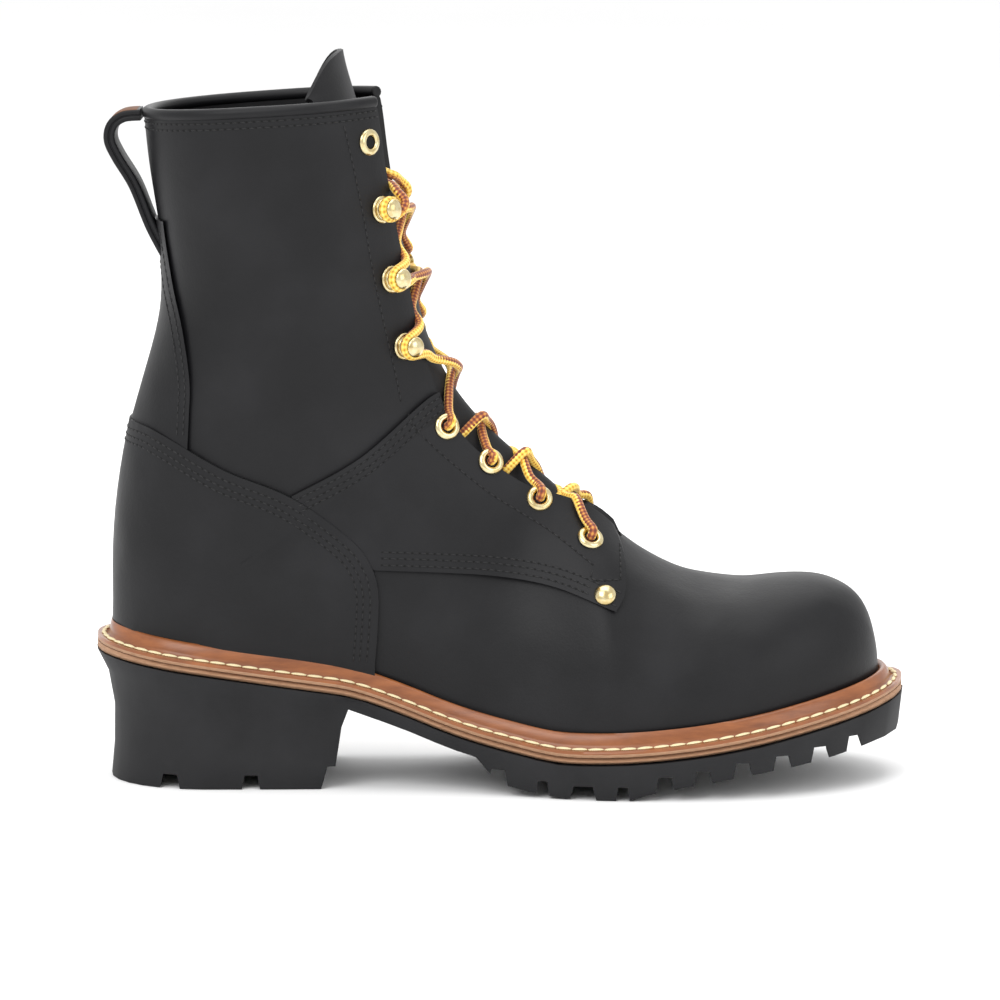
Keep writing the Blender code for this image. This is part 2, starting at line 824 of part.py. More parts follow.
def upper_sections():
    """Sections from toe to collar, and the number of those whose back is open below."""
    made = []
    toe_x = TOE_X
    reach = TOE_X - along(0.80)
    for u in rounded(TOE_FACES)[1:]:
        made.append(fore_section(toe_x - reach * u, False))
    throat_x = along(THROAT_SHARE)
    step = (along(0.80) - throat_x) / VAMP_FACES
    for i in range(1, VAMP_FACES + 1):
        made.append(fore_section(along(0.80) - step * i, False))
    made.append(fore_section(PIVOT_X, True))
    feet = [(along(s), feather(along(s))) for s in HEEL_FAN_SHARES]
    feet.append((back_x(HEEL_FEATHER), HEEL_FEATHER))
    for x, z in feet:
        angle = math.atan2(PIVOT_X - x, PIVOT_HEIGHT - z)
        end = math.hypot(PIVOT_X - x, PIVOT_HEIGHT - z)
        made.append(fan_section(angle, end, throat_gap(0.1 + 0.35 * math.degrees(angle) / 60.0)))
    open_count = len(made) - 1
    for degrees in ANKLE_DEGREES:
        angle = math.radians(degrees)
        made.append(fan_section(angle, fan_end(angle), throat_gap(0.1 + 0.35 * degrees / 60.0)))
    for level in SHAFT_LEVELS:
        made.append(shaft_section(level, throat_gap(0.63 + 0.37 * level)))
    return made, open_count


def column_share(start, u, closed):
    """Share along a section of one column, closer together where the back is round."""
    even = u
    close = 0.5 * (1.0 - math.cos(math.pi * u))
    blend = 0.75 * closed
    return start + (1.0 - start) * (even + (close - even) * blend)


def upper_surface():
    """Outer surface of the upper as one open grid in a bmesh."""
    sections, open_count = upper_sections()
    bm = bmesh.new()
    rows = []
    for number, line in enumerate(sections):
        closed = min(max((number - TOE_FACES - VAMP_FACES - 3) / 8.0, 0.0), 1.0)
        row = {-1: [], 1: []}
        for side in (-1, 1):
            start = line.share_at(line.gap, side)
            for k in range(SIDE_COLUMNS + 1):
                share = column_share(start, k / SIDE_COLUMNS, closed)
                place = line.point(share, side)
                if k == SIDE_COLUMNS and number >= open_count:
                    place.y = centre_line(place.x)
                    vert = row[-1][-1] if side > 0 else bm.verts.new(place)
                else:
                    vert = bm.verts.new(place)
                row[side].append(vert)
        row[0] = None if line.is_open else bm.verts.new(line.point(0.0, 1))
        rows.append(row)
    join_sections(bm, rows)
    bmesh.ops.triangulate(bm, faces=bm.faces)
    return bm


def join_sections(bm, rows):
    """Faces between neighbouring sections, with the throat left open."""
    for first, second in zip(rows, rows[1:]):
        for side in (-1, 1):
            for k in range(SIDE_COLUMNS):
                corners = [first[side][k], first[side][k + 1], second[side][k + 1], second[side][k]]
                unique = list(dict.fromkeys(corners))
                bm.faces.new(unique if side < 0 else unique[::-1])
            if first[0] and second[0]:
                corners = [first[0], first[side][0], second[side][0], second[0]]
                bm.faces.new(corners if side < 0 else corners[::-1])
    tip_x = TOE_X
    tip = bm.verts.new((tip_x, centre_line(tip_x), rows[0][-1][-1].co.z))
    around = rows[0][-1][::-1] + [rows[0][0]] + rows[0][1]
    for first, second in zip(around, around[1:]):
        bm.faces.new((tip, first, second))


def thicken(bm, inner, outer, level_rim=False):
    """Closed wall between two offsets of an open surface, along its normals."""
    bmesh.ops.recalc_face_normals(bm, faces=bm.faces)
    bm.normal_update()
    middle = Vector((0.0, 0.0, 0.5 * (HEEL_FEATHER + PIVOT_HEIGHT)))
    votes = 0
    for face in bm.faces:
        away = face.calc_center_median() - middle
        votes += 1 if face.normal.y * away.y > 0.0 else -1
    if votes < 0:
        bmesh.ops.reverse_faces(bm, faces=bm.faces)
        bm.normal_update()
    outside = {}
    inside = {}
    faces = list(bm.faces)
    rims = [edge for edge in bm.edges if edge.is_boundary]
    for vert in list(bm.verts):
        normal = vert.normal.copy()
        if level_rim and vert.co.z < feather(vert.co.x) + CLEARANCE:
            normal.z = 0.0
            normal.normalize()
        outside[vert] = bm.verts.new(vert.co + normal * outer)
        inside[vert] = bm.verts.new(vert.co + normal * inner)
    for edge in rims:
        loop = edge.link_loops[0]
        a = loop.vert
        b = loop.link_loop_next.vert
        bm.faces.new((outside[b], outside[a], inside[a], inside[b]))
    for face in faces:
        bm.faces.new([outside[v] for v in face.verts])
        bm.faces.new([inside[v] for v in reversed(face.verts)])
    bmesh.ops.delete(bm, geom=faces, context="FACES")
    loose = [vert for vert in bm.verts if not vert.link_faces]
    bmesh.ops.delete(bm, geom=loose, context="VERTS")
    return bm


def build_upper(home, material):
    """Hollow leather upper, open at the collar, throat and underneath."""
    bm = thicken(upper_surface(), -UPPER_WALL, 0.0, True)
    return mesh_object("upper", bm, home, material)


def build_insole(home, material):
    """Board on the midsole inside the upper's wall."""
    sides = upper_ring((0.0, INSOLE_THICKNESS, 1.5 * INSOLE_THICKNESS), -UPPER_WALL - 3.0 * CLEARANCE)
    low = feather
    return build_layer("insole", home, material, sides, low, lambda x: low(x) + INSOLE_THICKNESS)


def tongue_rows():
    """Sections over the tongue: from inside the vamp to above the collar, with half widths."""
    half = 0.5 * TONGUE_WIDTH
    rows = []
    for share, width in ((0.700, 0.50), (0.675, 0.60), (0.650, 0.66)):
        rows.append((fore_section(along(share), True), width * half))
    rows.append((fore_section(PIVOT_X, True), 0.70 * half))
    for degrees in (8.0, 16.0, 25.0, 35.0, 45.0, 55.0, 65.0, 78.0):
        angle = math.radians(degrees)
        width = 0.70 + 0.25 * degrees / 90.0
        rows.append((fan_section(angle, fan_end(angle), 0.0), width * half))
    for level in (0.0, 0.25, 0.5, 0.75, 0.95):
        rows.append((shaft_section(level, 0.0), (0.95 + 0.07 * level) * half))
    rise = TONGUE_RISE / (COLLAR_HEIGHT - PIVOT_HEIGHT)
    for u, width in ((0.35, 1.03), (0.65, 1.00), (0.88, 0.86), (1.0, 0.60)):
        rows.append((shaft_section(1.0 + rise * u, 0.0), width * half))
    return rows


def tongue_lean(z):
    """How far the tongue leans back from the closed shape of the shaft."""
    level = (z - PIVOT_HEIGHT) / (COLLAR_HEIGHT - PIVOT_HEIGHT)
    return Vector((-TONGUE_LEAN * max(level - 0.2, 0.0), 0.0, 0.0))


def build_tongue(home, material):
    """Curved strip of leather behind the throat."""
    bm = bmesh.new()
    columns = 6
    grid = []
    for line, half in tongue_rows():
        row = []
        for k in range(columns + 1):
            u = 2.0 * k / columns - 1.0
            side = -1 if u < 0.0 else 1
            share = line.share_at(abs(u) * half, side) if abs(u) > 1e-6 else 0.0
            place = line.point(share, side)
            row.append(bm.verts.new(place + tongue_lean(place.z)))
        grid.append(row)
    for first, second in zip(grid, grid[1:]):
        for k in range(columns):
            bm.faces.new((first[k], first[k + 1], second[k + 1], second[k]))
    outer = -UPPER_WALL - TONGUE_CLEARANCE
    bm = thicken(bm, outer - TONGUE_THICKNESS, outer)
    return mesh_object("tongue", bm, home, material)


def counter_foot():
    """Lower edge of the counter, on the welt's bead, back to front reversed."""
    shares = (0.340, 0.28, 0.22, 0.17, 0.12, 0.07, 0.02, -0.02)
    return [(share, (bead_top(along(share)) + 2.0 * CLEARANCE) / COLLAR_HEIGHT) for share in shares]


def smooth_outline(corners, splits=3):
    """Side outline in metres, with its long runs rounded through the chosen points."""
    points = [Vector((along(share), height * COLLAR_HEIGHT)) for share, height in corners]
    count = len(points)
    made = []
    for i in range(count):
        before, a, b, after = (points[(i + k) % count] for k in (-1, 0, 1, 2))
        made.append(a)
        sharp_a = (a - before).angle(b - a) > 0.7
        sharp_b = (b - a).angle(after - b) > 0.7
        start = Vector((0.0, 0.0)) if sharp_a else 0.5 * (b - before)
        end = Vector((0.0, 0.0)) if sharp_b else 0.5 * (after - a)
        if sharp_a and not sharp_b:
            start = 0.5 * (b - a)
        if sharp_b and not sharp_a:
            end = 0.5 * (b - a)
        if sharp_a and sharp_b:
            continue
        for k in range(1, splits):
            t = k / splits
            blend_a = (1.0 + 2.0 * t) * (1.0 - t) ** 2
            blend_b = t * t * (3.0 - 2.0 * t)
            pull_a = t * (1.0 - t) ** 2
            pull_b = t * t * (t - 1.0)
            made.append(blend_a * a + blend_b * b + pull_a * start + pull_b * end)
    return made


def side_prism(name, tools, corners, low_y, high_y):
    """Solid with a side outline, between two places across the boot."""
    outline = smooth_outline(corners)
    bm = bmesh.new()
    near = [bm.verts.new((p.x, low_y, p.y)) for p in outline]
    far = [bm.verts.new((p.x, high_y, p.y)) for p in outline]
    for i in range(len(outline)):
        j = (i + 1) % len(outline)
        bm.faces.new((near[i], near[j], far[j], far[i]))
    bm.faces.new(near)
    bm.faces.new(far)
    return mesh_object(name, bm, tools, smooth=False)


def build_overlay(name, home, tools, material, corners, thickness, span):
    """Leather laid over the upper: a wall on its surface kept inside a side outline."""
    bm = thicken(upper_surface(), CLEARANCE, CLEARANCE + thickness)
    overlay = mesh_object(name, bm, home, material)
    cut(overlay, side_prism(name + "_outline", tools, corners, *span), "INTERSECT")
    return overlay


def build_overlays(home, tools, leather):
    """Counter, lower quarters and back stay."""
    wide = BALL_WIDTH
    throat = 0.42 * THROAT_GAP
    lateral = (-wide, SOLE_CENTRE_Y - throat)
    medial = (SOLE_CENTRE_Y + throat, wide)
    counter = COUNTER_EDGE + tuple(counter_foot())
    build_overlay("counter", home, tools, leather, counter, COUNTER_THICKNESS, (-wide, wide))
    build_overlay("quarter_lateral", home, tools, leather, QUARTER_EDGE, OVERLAY_THICKNESS, lateral)
    build_overlay("quarter_medial", home, tools, leather, QUARTER_EDGE, OVERLAY_THICKNESS, medial)
    build_overlay("back_stay", home, tools, leather, STAY_EDGE, OVERLAY_THICKNESS, (-wide, wide))


def tube(name, home, material, points, radius, resolution=1):
    """Round cord or rim as a curve with filled caps."""
    curve = bpy.data.curves.new(name, "CURVE")
    curve.dimensions = "3D"
    curve.bevel_depth = radius
    curve.bevel_resolution = resolution
    curve.use_fill_caps = True
    spline = curve.splines.new("POLY")
    spline.points.add(len(points) - 1)
    for point, place in zip(spline.points, points):
        point.co = (*place, 1.0)
    curve.materials.append(material)
    made = bpy.data.objects.new(name, curve)
    home.objects.link(made)
    return made


def build_binding(home, material):
    """Rolled rim on the collar's edge, from facing to facing round the back."""
    line = shaft_section(1.0, throat_gap(1.0))
    points = {}
    radius = 0.5 * BINDING_DIAMETER
    for side in (-1, 1):
        start = line.share_at(line.gap, side)
        row = []
        for k in range(13):
            share = column_share(start, k / 12, 1.0)
            place = line.point(share, side)
            x, z = line.place(share)
            inward = skin_normal(x, z, side) * -0.5 * UPPER_WALL if 0 < k < 12 else Vector()
            place += inward
            if k == 12:
                place.y = centre_line(place.x)
                place.x += 0.5 * UPPER_WALL
            place.z += radius + 2.0 * CLEARANCE
            row.append(place)
        points[side] = row
    return tube("collar_binding", home, material, points[-1] + points[1][-2::-1], radius)


def seat(place, side, lift):
    """Where a fitting stands on the upper, and its outward direction."""
    x = along(place[0])
    z = place[1] * COLLAR_HEIGHT
    normal = skin_normal(x, z, side)
    return skin(x, z, side) + normal * lift, normal


def turned(name, home, material, profile, place, side, lift, steps=10):
    """Turned fitting on the upper: a profile of radius and height spun about its axis."""
    mesh = bpy.data.meshes.new(name)
    verts = [(radius, 0.0, height) for radius, height in profile]
    edges = [(i, i + 1) for i in range(len(verts) - 1)]
    closed = profile[0][0] > 0.0 and profile[-1][0] > 0.0
    if closed:
        edges.append((len(verts) - 1, 0))
    mesh.from_pydata(verts, edges, [])
    mesh.materials.append(material)
    made = bpy.data.objects.new(name, mesh)
    home.objects.link(made)
    screw = made.modifiers.new("turn", "SCREW")
    screw.steps = steps
    screw.render_steps = steps
    screw.use_merge_vertices = True
    screw.merge_threshold = 0.00001
    screw.use_smooth_shade = True
    origin, normal = seat(place, side, lift)
    made.rotation_mode = "QUATERNION"
    made.rotation_quaternion = normal.to_track_quat("Z", "Y")
    made.location = origin
    return made


def eyelet_profile(diameter):
    """Rolled flange of an eyelet, down its outer side."""
    outer = 0.5 * diameter
    hole = 0.5 * EYELET_HOLE
    top = EYELET_HEIGHT
    return ((hole, 0.35 * top), (hole + 0.3 * (outer - hole), top), (outer - 0.25 * (outer - hole), 0.92 * top),
            (outer, 0.0), (hole, 0.0))


def hook_neck():
    """Radius of a hook's neck."""
    return 0.21 * HOOK_CAP_DIAMETER


def hook_profile():
    """Speed hook: stepped base, neck and domed head, down its outer side."""
    base = 0.5 * HOOK_BASE_DIAMETER
    cap = 0.5 * HOOK_CAP_DIAMETER
    top = HOOK_HEIGHT
    return ((0.0, top), (0.62 * cap, 0.96 * top), (cap, 0.82 * top), (hook_neck(), 0.71 * top),
            (hook_neck(), 0.17 * top), (0.80 * base, 0.15 * top), (base, 0.0), (0.0, 0.0))


def rivet_profile():
    """Domed rivet head."""
    radius = 0.5 * RIVET_DIAMETER
    top = RIVET_HEIGHT
    return ((0.0, top), (0.5 * radius, 0.86 * top), (0.86 * radius, 0.5 * top), (radius, 0.0), (0.0, 0.0))


def build_hardware(home, brass):
    """Eyelets, hooks and rivets of both sides."""
    overlay = CLEARANCE + OVERLAY_THICKNESS + 2.0 * CLEARANCE
    ground = 2.0 * CLEARANCE
    for side, word in ((-1, "lateral"), (1, "medial")):
        for number, place in enumerate(EYELET_PLACES, 1):
            name = f"eyelet_{word}_{number}"
            turned(name, home, brass, eyelet_profile(EYELET_DIAMETER), place, side, overlay)
        profile = eyelet_profile(TOP_EYELET_DIAMETER)
        turned(f"eyelet_{word}_top", home, brass, profile, TOP_EYELET_PLACE, side, ground)
        for number, place in enumerate(HOOK_PLACES, 1):
            turned(f"hook_{word}_{number}", home, brass, hook_profile(), place, side, ground)
        turned(f"rivet_{word}", home, brass, rivet_profile(), RIVET_PLACE, side, overlay)


def build_pull_loop(home, material):
    """Loop of doubled strap at the back of the collar."""
    route = (
        (0.0670, 0.800), (0.0555, 0.846), (0.0395, 0.903), (0.0235, 0.952),
        (0.0220, 0.975), (0.0285, 0.996), (0.0420, 1.010), (0.0587, 1.014),
    )
    points = [Vector((along(share), 0.0, height * COLLAR_HEIGHT)) for share, height in route]
    half = 0.5 * LOOP_STRAP_THICKNESS
    bm = bmesh.new()
    loops = []
    for i, point in enumerate(points):
        before = points[max(i - 1, 0)]
        after = points[min(i + 1, len(points) - 1)]
        run = (after - before).normalized()
        across = Vector((run.z, 0.0, -run.x)) * half
        width = 0.5 * LOOP_STRAP_WIDTH
        centre = centre_line(point.x)
        corners = []
        for sign, y in ((1, -width), (1, width), (-1, width), (-1, -width)):
            corners.append(bm.verts.new(point + across * sign + Vector((0.0, centre + y, 0.0))))
        loops.append(corners)
    for first, second in zip(loops, loops[1:]):
        for i in range(4):
            j = (i + 1) % 4
            bm.faces.new((first[i], first[j], second[j], second[i]))
    bm.faces.new(loops[0])
    bm.faces.new(loops[-1])
    return mesh_object("pull_loop", bm, home, material)


def throat_line(station):
    """Section at a station over the throat: 0 to 1 round the pivot, 1 to 2 up the shaft."""
    if station <= 1.0:
        angle = 0.5 * math.pi * station
        return fan_section(angle, fan_end(angle), 0.0)
    return shaft_section(station - 1.0, 0.0)


def station_of(place):
    """Station of a fitting's place in the side view."""
    x = along(place[0])
    z = place[1] * COLLAR_HEIGHT
    if z > PIVOT_HEIGHT:
        return 1.0 + (z - PIVOT_HEIGHT) / (COLLAR_HEIGHT - PIVOT_HEIGHT)
    return math.atan2(PIVOT_X - x, PIVOT_HEIGHT - z) / (0.5 * math.pi)


def over_throat(station, across, height):
    """Place above the throat: a signed distance across it and a height off the closed shape."""
    line = throat_line(station)
    side = -1 if across < 0.0 else 1
    share = line.share_at(abs(across), side) if abs(across) > 1e-5 else 0.0
    point = line.point(share, side)
    inner_x, inner_z = line.place(share)
    outer_x, outer_z = line.place(share - 0.02)
    outward = Vector((outer_x - inner_x, 0.0, outer_z - inner_z)).normalized()
    tilt = min(abs(across) / 0.030, 1.0)
    normal = (outward + Vector((0.0, side * tilt, 0.0))).normalized()
    return point + normal * height


def fitting_reach(place, side):
    """Distance of a fitting from the boot's centre line."""
    point, _ = seat(place, side, 0.0)
    return abs(point.y - centre_line(point.x))


def lace_run(first, second, side, is_hook):
    """Points of a strand from a fitting on one side to the far edge of the throat."""
    start = station_of(first)
    end = station_of(second)
    reach = fitting_reach(first, side)
    far = 0.35 * reach
    off_fitting = 0.5 * LACE_DIAMETER + OVERLAY_THICKNESS + EYELET_HEIGHT + 5.0 * CLEARANCE
    low = 0.45 * LACE_DIAMETER
    begin = reach - 0.15 * EYELET_DIAMETER
    if is_hook:
        off_fitting = HOOK_MIDDLE * HOOK_HEIGHT + 2.0 * CLEARANCE
        begin = reach - 0.85 * (hook_neck() + 0.5 * LACE_DIAMETER + CLEARANCE)
    points = []
    count = 7
    for i in range(count):
        t = i / (count - 1)
        across = side * (begin + (-far - begin) * t)
        station = start + (end - start) * t * 0.9
        height = off_fitting + (low - off_fitting) * min(1.6 * t, 1.0)
        height += LACE_OVER * LACE_DIAMETER * (0.5 + 0.5 * side) * math.sin(math.pi * t)
        points.append(over_throat(station, across, height))
    return points


def as_mesh(curve_object, home):
    """Mesh object in place of a curve, with its caps welded."""
    depsgraph = bpy.context.evaluated_depsgraph_get()
    mesh = bpy.data.meshes.new_from_object(curve_object.evaluated_get(depsgraph))
    bm = bmesh.new()
    bm.from_mesh(mesh)
    bmesh.ops.remove_doubles(bm, verts=bm.verts, dist=0.00001)
    bm.to_mesh(mesh)
    bm.free()
    name = curve_object.name
    curve_object.name = name + "_curve"
    made = bpy.data.objects.new(name, mesh)
    made.matrix_world = curve_object.matrix_world
    home.objects.link(made)
    bpy.data.objects.remove(curve_object, do_unlink=True)
    return made


def build_laces(home, tools, cord):
    """Bar at the throat's foot, and a crossing above each pair of fittings but the last."""
    radius = 0.5 * LACE_DIAMETER
    low = EYELET_PLACES[0]
    reach = fitting_reach(low, -1)
    off_fitting = radius + OVERLAY_THICKNESS + EYELET_HEIGHT + 7.0 * CLEARANCE
    bar = []
    for i in range(9):
        across = 0.9 * reach * (i / 4.0 - 1.0)
        bar.append(over_throat(station_of(low) - BAR_SETBACK, across, off_fitting))
    tube("lace_bar", home, cord, bar, radius)
    fittings = list(EYELET_PLACES) + list(HOOK_PLACES)
    for number, (first, second) in enumerate(zip(fittings, fittings[1:]), 1):
        is_hook = number > len(EYELET_PLACES)
        strands = []
        for side, place in ((-1, home), (1, tools)):
            points = lace_run(first, second, side, is_hook)
            name = f"lace_cross_{number}" if side < 0 else f"lace_under_{number}"
            strands.append(as_mesh(tube(name, place, cord, points, radius), place))
        cut(strands[0], strands[1], "UNION")
    for side, word in ((-1, "lateral"), (1, "medial")):
        top = HOOK_PLACES[-1]
        station = station_of(top)
        reach = fitting_reach(top, side)
        route = LACE_END_ROUTE
        points = [over_throat(station + rise, side * share * reach, height) for rise, share, height in route]
        tube(f"lace_end_{word}", home, cord, points, radius)


def main():
    """Model the boot piece by piece."""
    for thing in list(bpy.data.objects):
        bpy.data.objects.remove(thing, do_unlink=True)
    home = collection("logger_boot")
    tools = collection("cutters")
    rubber = new_material("black_rubber", (0.020, 0.020, 0.022), 0.62)
    leather = new_material("oiled_leather", (0.022, 0.022, 0.023), 0.48)
    brown = new_material("welt_leather", (0.36, 0.12, 0.045), 0.42)
    tan = new_material("midsole_leather", (0.50, 0.29, 0.16), 0.65)
    cord = new_material("braided_cord", (0.83, 0.52, 0.07), 0.75)
    brass = new_material("pale_brass", (0.80, 0.66, 0.36), 0.25, 1.0)
    build_outsole(home, tools, rubber)
    build_layer("midsole", home, tan, outline_ring(0.0), midsole_bottom,
                lambda x: midsole_bottom(x) + MIDSOLE_THICKNESS)
    build_welt(home, brown)
    build_upper(home, leather)
    build_insole(home, tan)
    build_tongue(home, leather)
    build_overlays(home, tools, leather)
    build_binding(home, leather)
    build_hardware(home, brass)
    build_pull_loop(home, leather)
    build_laces(home, tools, cord)


main()
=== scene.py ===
"""Looks of a right logger boot: oiled black leather on a lugged rubber sole.

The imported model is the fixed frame. Leather skins are subdivided copies of the
frame's own shapes, overlays are cut from those skins, and thread, fittings and
lace are modelled at their real size on top of them. Metres, +X to the toe,
+Y to the inner side, +Z up.
"""

import logging
import math
from dataclasses import dataclass, field
from enum import Enum
from typing import Callable, Sequence

import bmesh
import bpy
from mathutils import Matrix, Vector
from mathutils.bvhtree import BVHTree


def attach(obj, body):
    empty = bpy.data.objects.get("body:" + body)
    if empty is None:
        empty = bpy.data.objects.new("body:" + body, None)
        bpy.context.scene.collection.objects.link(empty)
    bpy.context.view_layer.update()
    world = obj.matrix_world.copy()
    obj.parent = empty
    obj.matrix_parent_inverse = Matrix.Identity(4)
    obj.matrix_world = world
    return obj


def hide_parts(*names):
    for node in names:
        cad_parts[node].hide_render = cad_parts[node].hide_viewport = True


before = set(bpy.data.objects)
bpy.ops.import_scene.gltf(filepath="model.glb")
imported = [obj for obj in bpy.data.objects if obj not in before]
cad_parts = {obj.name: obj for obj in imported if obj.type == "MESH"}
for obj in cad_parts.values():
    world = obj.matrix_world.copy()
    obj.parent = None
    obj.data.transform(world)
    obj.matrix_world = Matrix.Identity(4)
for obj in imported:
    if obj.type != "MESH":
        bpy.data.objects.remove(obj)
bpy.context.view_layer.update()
LOG = logging.getLogger("logger_boot")
MM = 0.001
BODY = "root"


class Side(Enum):
    """Side of the boot, as the sign of its y."""

    LATERAL = -1
    MEDIAL = 1

    @property
    def word(self) -> str:
        """Name of the side in node names."""
        return self.name.lower()


class Slot(Enum):
    """Material slots of the record."""

    RUBBER = "rubber"
    MIDSOLE = "midsole"
    WELT = "welt"
    LEATHER = "leather"
    BRASS = "brass"
    LACE = "lace"


def linear(colour: str) -> tuple[float, float, float, float]:
    """Turn an sRGB hex colour into linear values.

    Args:
        colour: Six hex digits after a hash.

    Returns:
        Red, green, blue and alpha in linear light.
    """
    parts = [int(colour[i:i + 2], 16) / 255.0 for i in (1, 3, 5)]
    lit = [c / 12.92 if c <= 0.04045 else ((c + 0.055) / 1.055) ** 2.4 for c in parts]
    return (lit[0], lit[1], lit[2], 1.0)


def add_node(tree: bpy.types.NodeTree, kind: str, values: dict | None = None,
             links: dict | None = None, **settings: object) -> bpy.types.Node:
    """Add one shader node.

    Args:
        tree: Node tree to add to.
        kind: Blender's name of the node type.
        values: Socket name or number to its fixed value.
        links: Socket name or number to the output that feeds it.
        **settings: Properties of the node itself.

    Returns:
        The new node.
    """
    node = tree.nodes.new(kind)
    for name, value in settings.items():
        setattr(node, name, value)
    for name, value in (values or {}).items():
        node.inputs[name].default_value = value
    for name, source in (links or {}).items():
        tree.links.new(source, node.inputs[name])
    return node


def new_material(name: str, roughness: float, metallic: float = 0.0) -> tuple:
    """Start a Principled material.

    Args:
        name: Name of the material.
        roughness: Roughness of the surface.
        metallic: 1 for a metal.

    Returns:
        The material, its node tree and its shader.
    """
    material = bpy.data.materials.new(name)
    material.use_nodes = True
    tree = material.node_tree
    shader = tree.nodes["Principled BSDF"]
    shader.inputs["Roughness"].default_value = roughness
    shader.inputs["Metallic"].default_value = metallic
    return material, tree, shader


def object_coords(tree: bpy.types.NodeTree) -> bpy.types.NodeSocket:
    """Object coordinates of a material."""
    return add_node(tree, "ShaderNodeTexCoord").outputs["Object"]


def blend_colours(tree: bpy.types.NodeTree, source: bpy.types.NodeSocket,
                  stops: Sequence[tuple[float, str]]) -> bpy.types.NodeSocket:
    """Colour ramp over a value.

    Args:
        tree: Node tree to add to.
        source: Value from 0 to 1.
        stops: Position and hex colour of each stop.

    Returns:
        The ramp's colour output.
    """
    ramp = add_node(tree, "ShaderNodeValToRGB", links={0: source})
    elements = ramp.color_ramp.elements
    while len(elements) < len(stops):
        elements.new(0.5)
    for element, (position, colour) in zip(elements, stops):
        element.position = position
        element.color = linear(colour)
    return ramp.outputs["Color"]


@dataclass(frozen=True)
class OiledLeather:
    """Pull-up cowhide, waxed and oiled: near black, soft sheen, fine pebbled grain."""

    name: str = "oiled_black_leather"
    deep: str = "#0E0E10"
    body: str = "#131315"
    rubbed: str = "#1B1B1D"
    grain_mm: float = 0.9
    pore_mm: float = 0.35
    cloud_mm: float = 34.0
    roughness: float = 0.46
    grain_height_mm: float = 0.10

    def material(self) -> bpy.types.Material:
        """Build the material: cloudy oil tone, grain bump and a soft waxy sheen."""
        made, tree, shader = new_material(self.name, self.roughness)
        coords = object_coords(tree)
        cloud = add_node(tree, "ShaderNodeTexNoise", {"Scale": 1.0 / (self.cloud_mm * MM), "Detail": 4.0},
                         {"Vector": coords})
        tone = blend_colours(tree, cloud.outputs[0], ((0.32, self.deep), (0.5, self.body), (0.72, self.rubbed)))
        tree.links.new(tone, shader.inputs["Base Color"])
        grain = add_node(tree, "ShaderNodeTexVoronoi", {"Scale": 1.0 / (self.grain_mm * MM)},
                         {"Vector": coords}, feature="SMOOTH_F1")
        pores = add_node(tree, "ShaderNodeTexNoise", {"Scale": 1.0 / (self.pore_mm * MM), "Detail": 3.0},
                         {"Vector": coords})
        wide = add_node(tree, "ShaderNodeTexNoise", {"Scale": 1.0 / (6.0 * MM), "Detail": 3.0},
                        {"Vector": coords})
        first = add_node(tree, "ShaderNodeBump", {"Strength": 0.30, "Distance": self.grain_height_mm * MM},
                         {"Height": grain.outputs["Distance"]})
        second = add_node(tree, "ShaderNodeBump", {"Strength": 0.25, "Distance": self.grain_height_mm * MM},
                          {"Height": pores.outputs[0], "Normal": first.outputs[0]})
        third = add_node(tree, "ShaderNodeBump", {"Strength": 0.20, "Distance": 0.5 * MM},
                         {"Height": wide.outputs[0], "Normal": second.outputs[0]})
        tree.links.new(third.outputs[0], shader.inputs["Normal"])
        gloss = add_node(tree, "ShaderNodeMapRange",
                         {1: 0.3, 2: 0.7, 3: self.roughness - 0.05, 4: self.roughness + 0.09},
                         {0: cloud.outputs[0]})
        tree.links.new(gloss.outputs[0], shader.inputs["Roughness"])
        shader.inputs["Specular IOR Level"].default_value = 0.24
        return made


@dataclass(frozen=True)
class MouldedRubber:
    """Carbon-filled rubber from a steel mould: flat black with a faint texture."""

    name: str = "moulded_black_rubber"
    body: str = "#151517"
    scuffed: str = "#1D1D1F"
    texture_mm: float = 0.7
    roughness: float = 0.62

    def material(self) -> bpy.types.Material:
        """Build the material."""
        made, tree, shader = new_material(self.name, self.roughness)
        coords = object_coords(tree)
        cloud = add_node(tree, "ShaderNodeTexNoise", {"Scale": 1.0 / (18.0 * MM), "Detail": 5.0},
                         {"Vector": coords})
        tone = blend_colours(tree, cloud.outputs[0], ((0.35, self.body), (0.75, self.scuffed)))
        tree.links.new(tone, shader.inputs["Base Color"])
        texture = add_node(tree, "ShaderNodeTexNoise", {"Scale": 1.0 / (self.texture_mm * MM), "Detail": 4.0},
                           {"Vector": coords})
        bump = add_node(tree, "ShaderNodeBump", {"Strength": 0.22, "Distance": 0.12 * MM},
                        {"Height": texture.outputs[0]})
        tree.links.new(bump.outputs[0], shader.inputs["Normal"])
        shader.inputs["Specular IOR Level"].default_value = 0.30
        return made


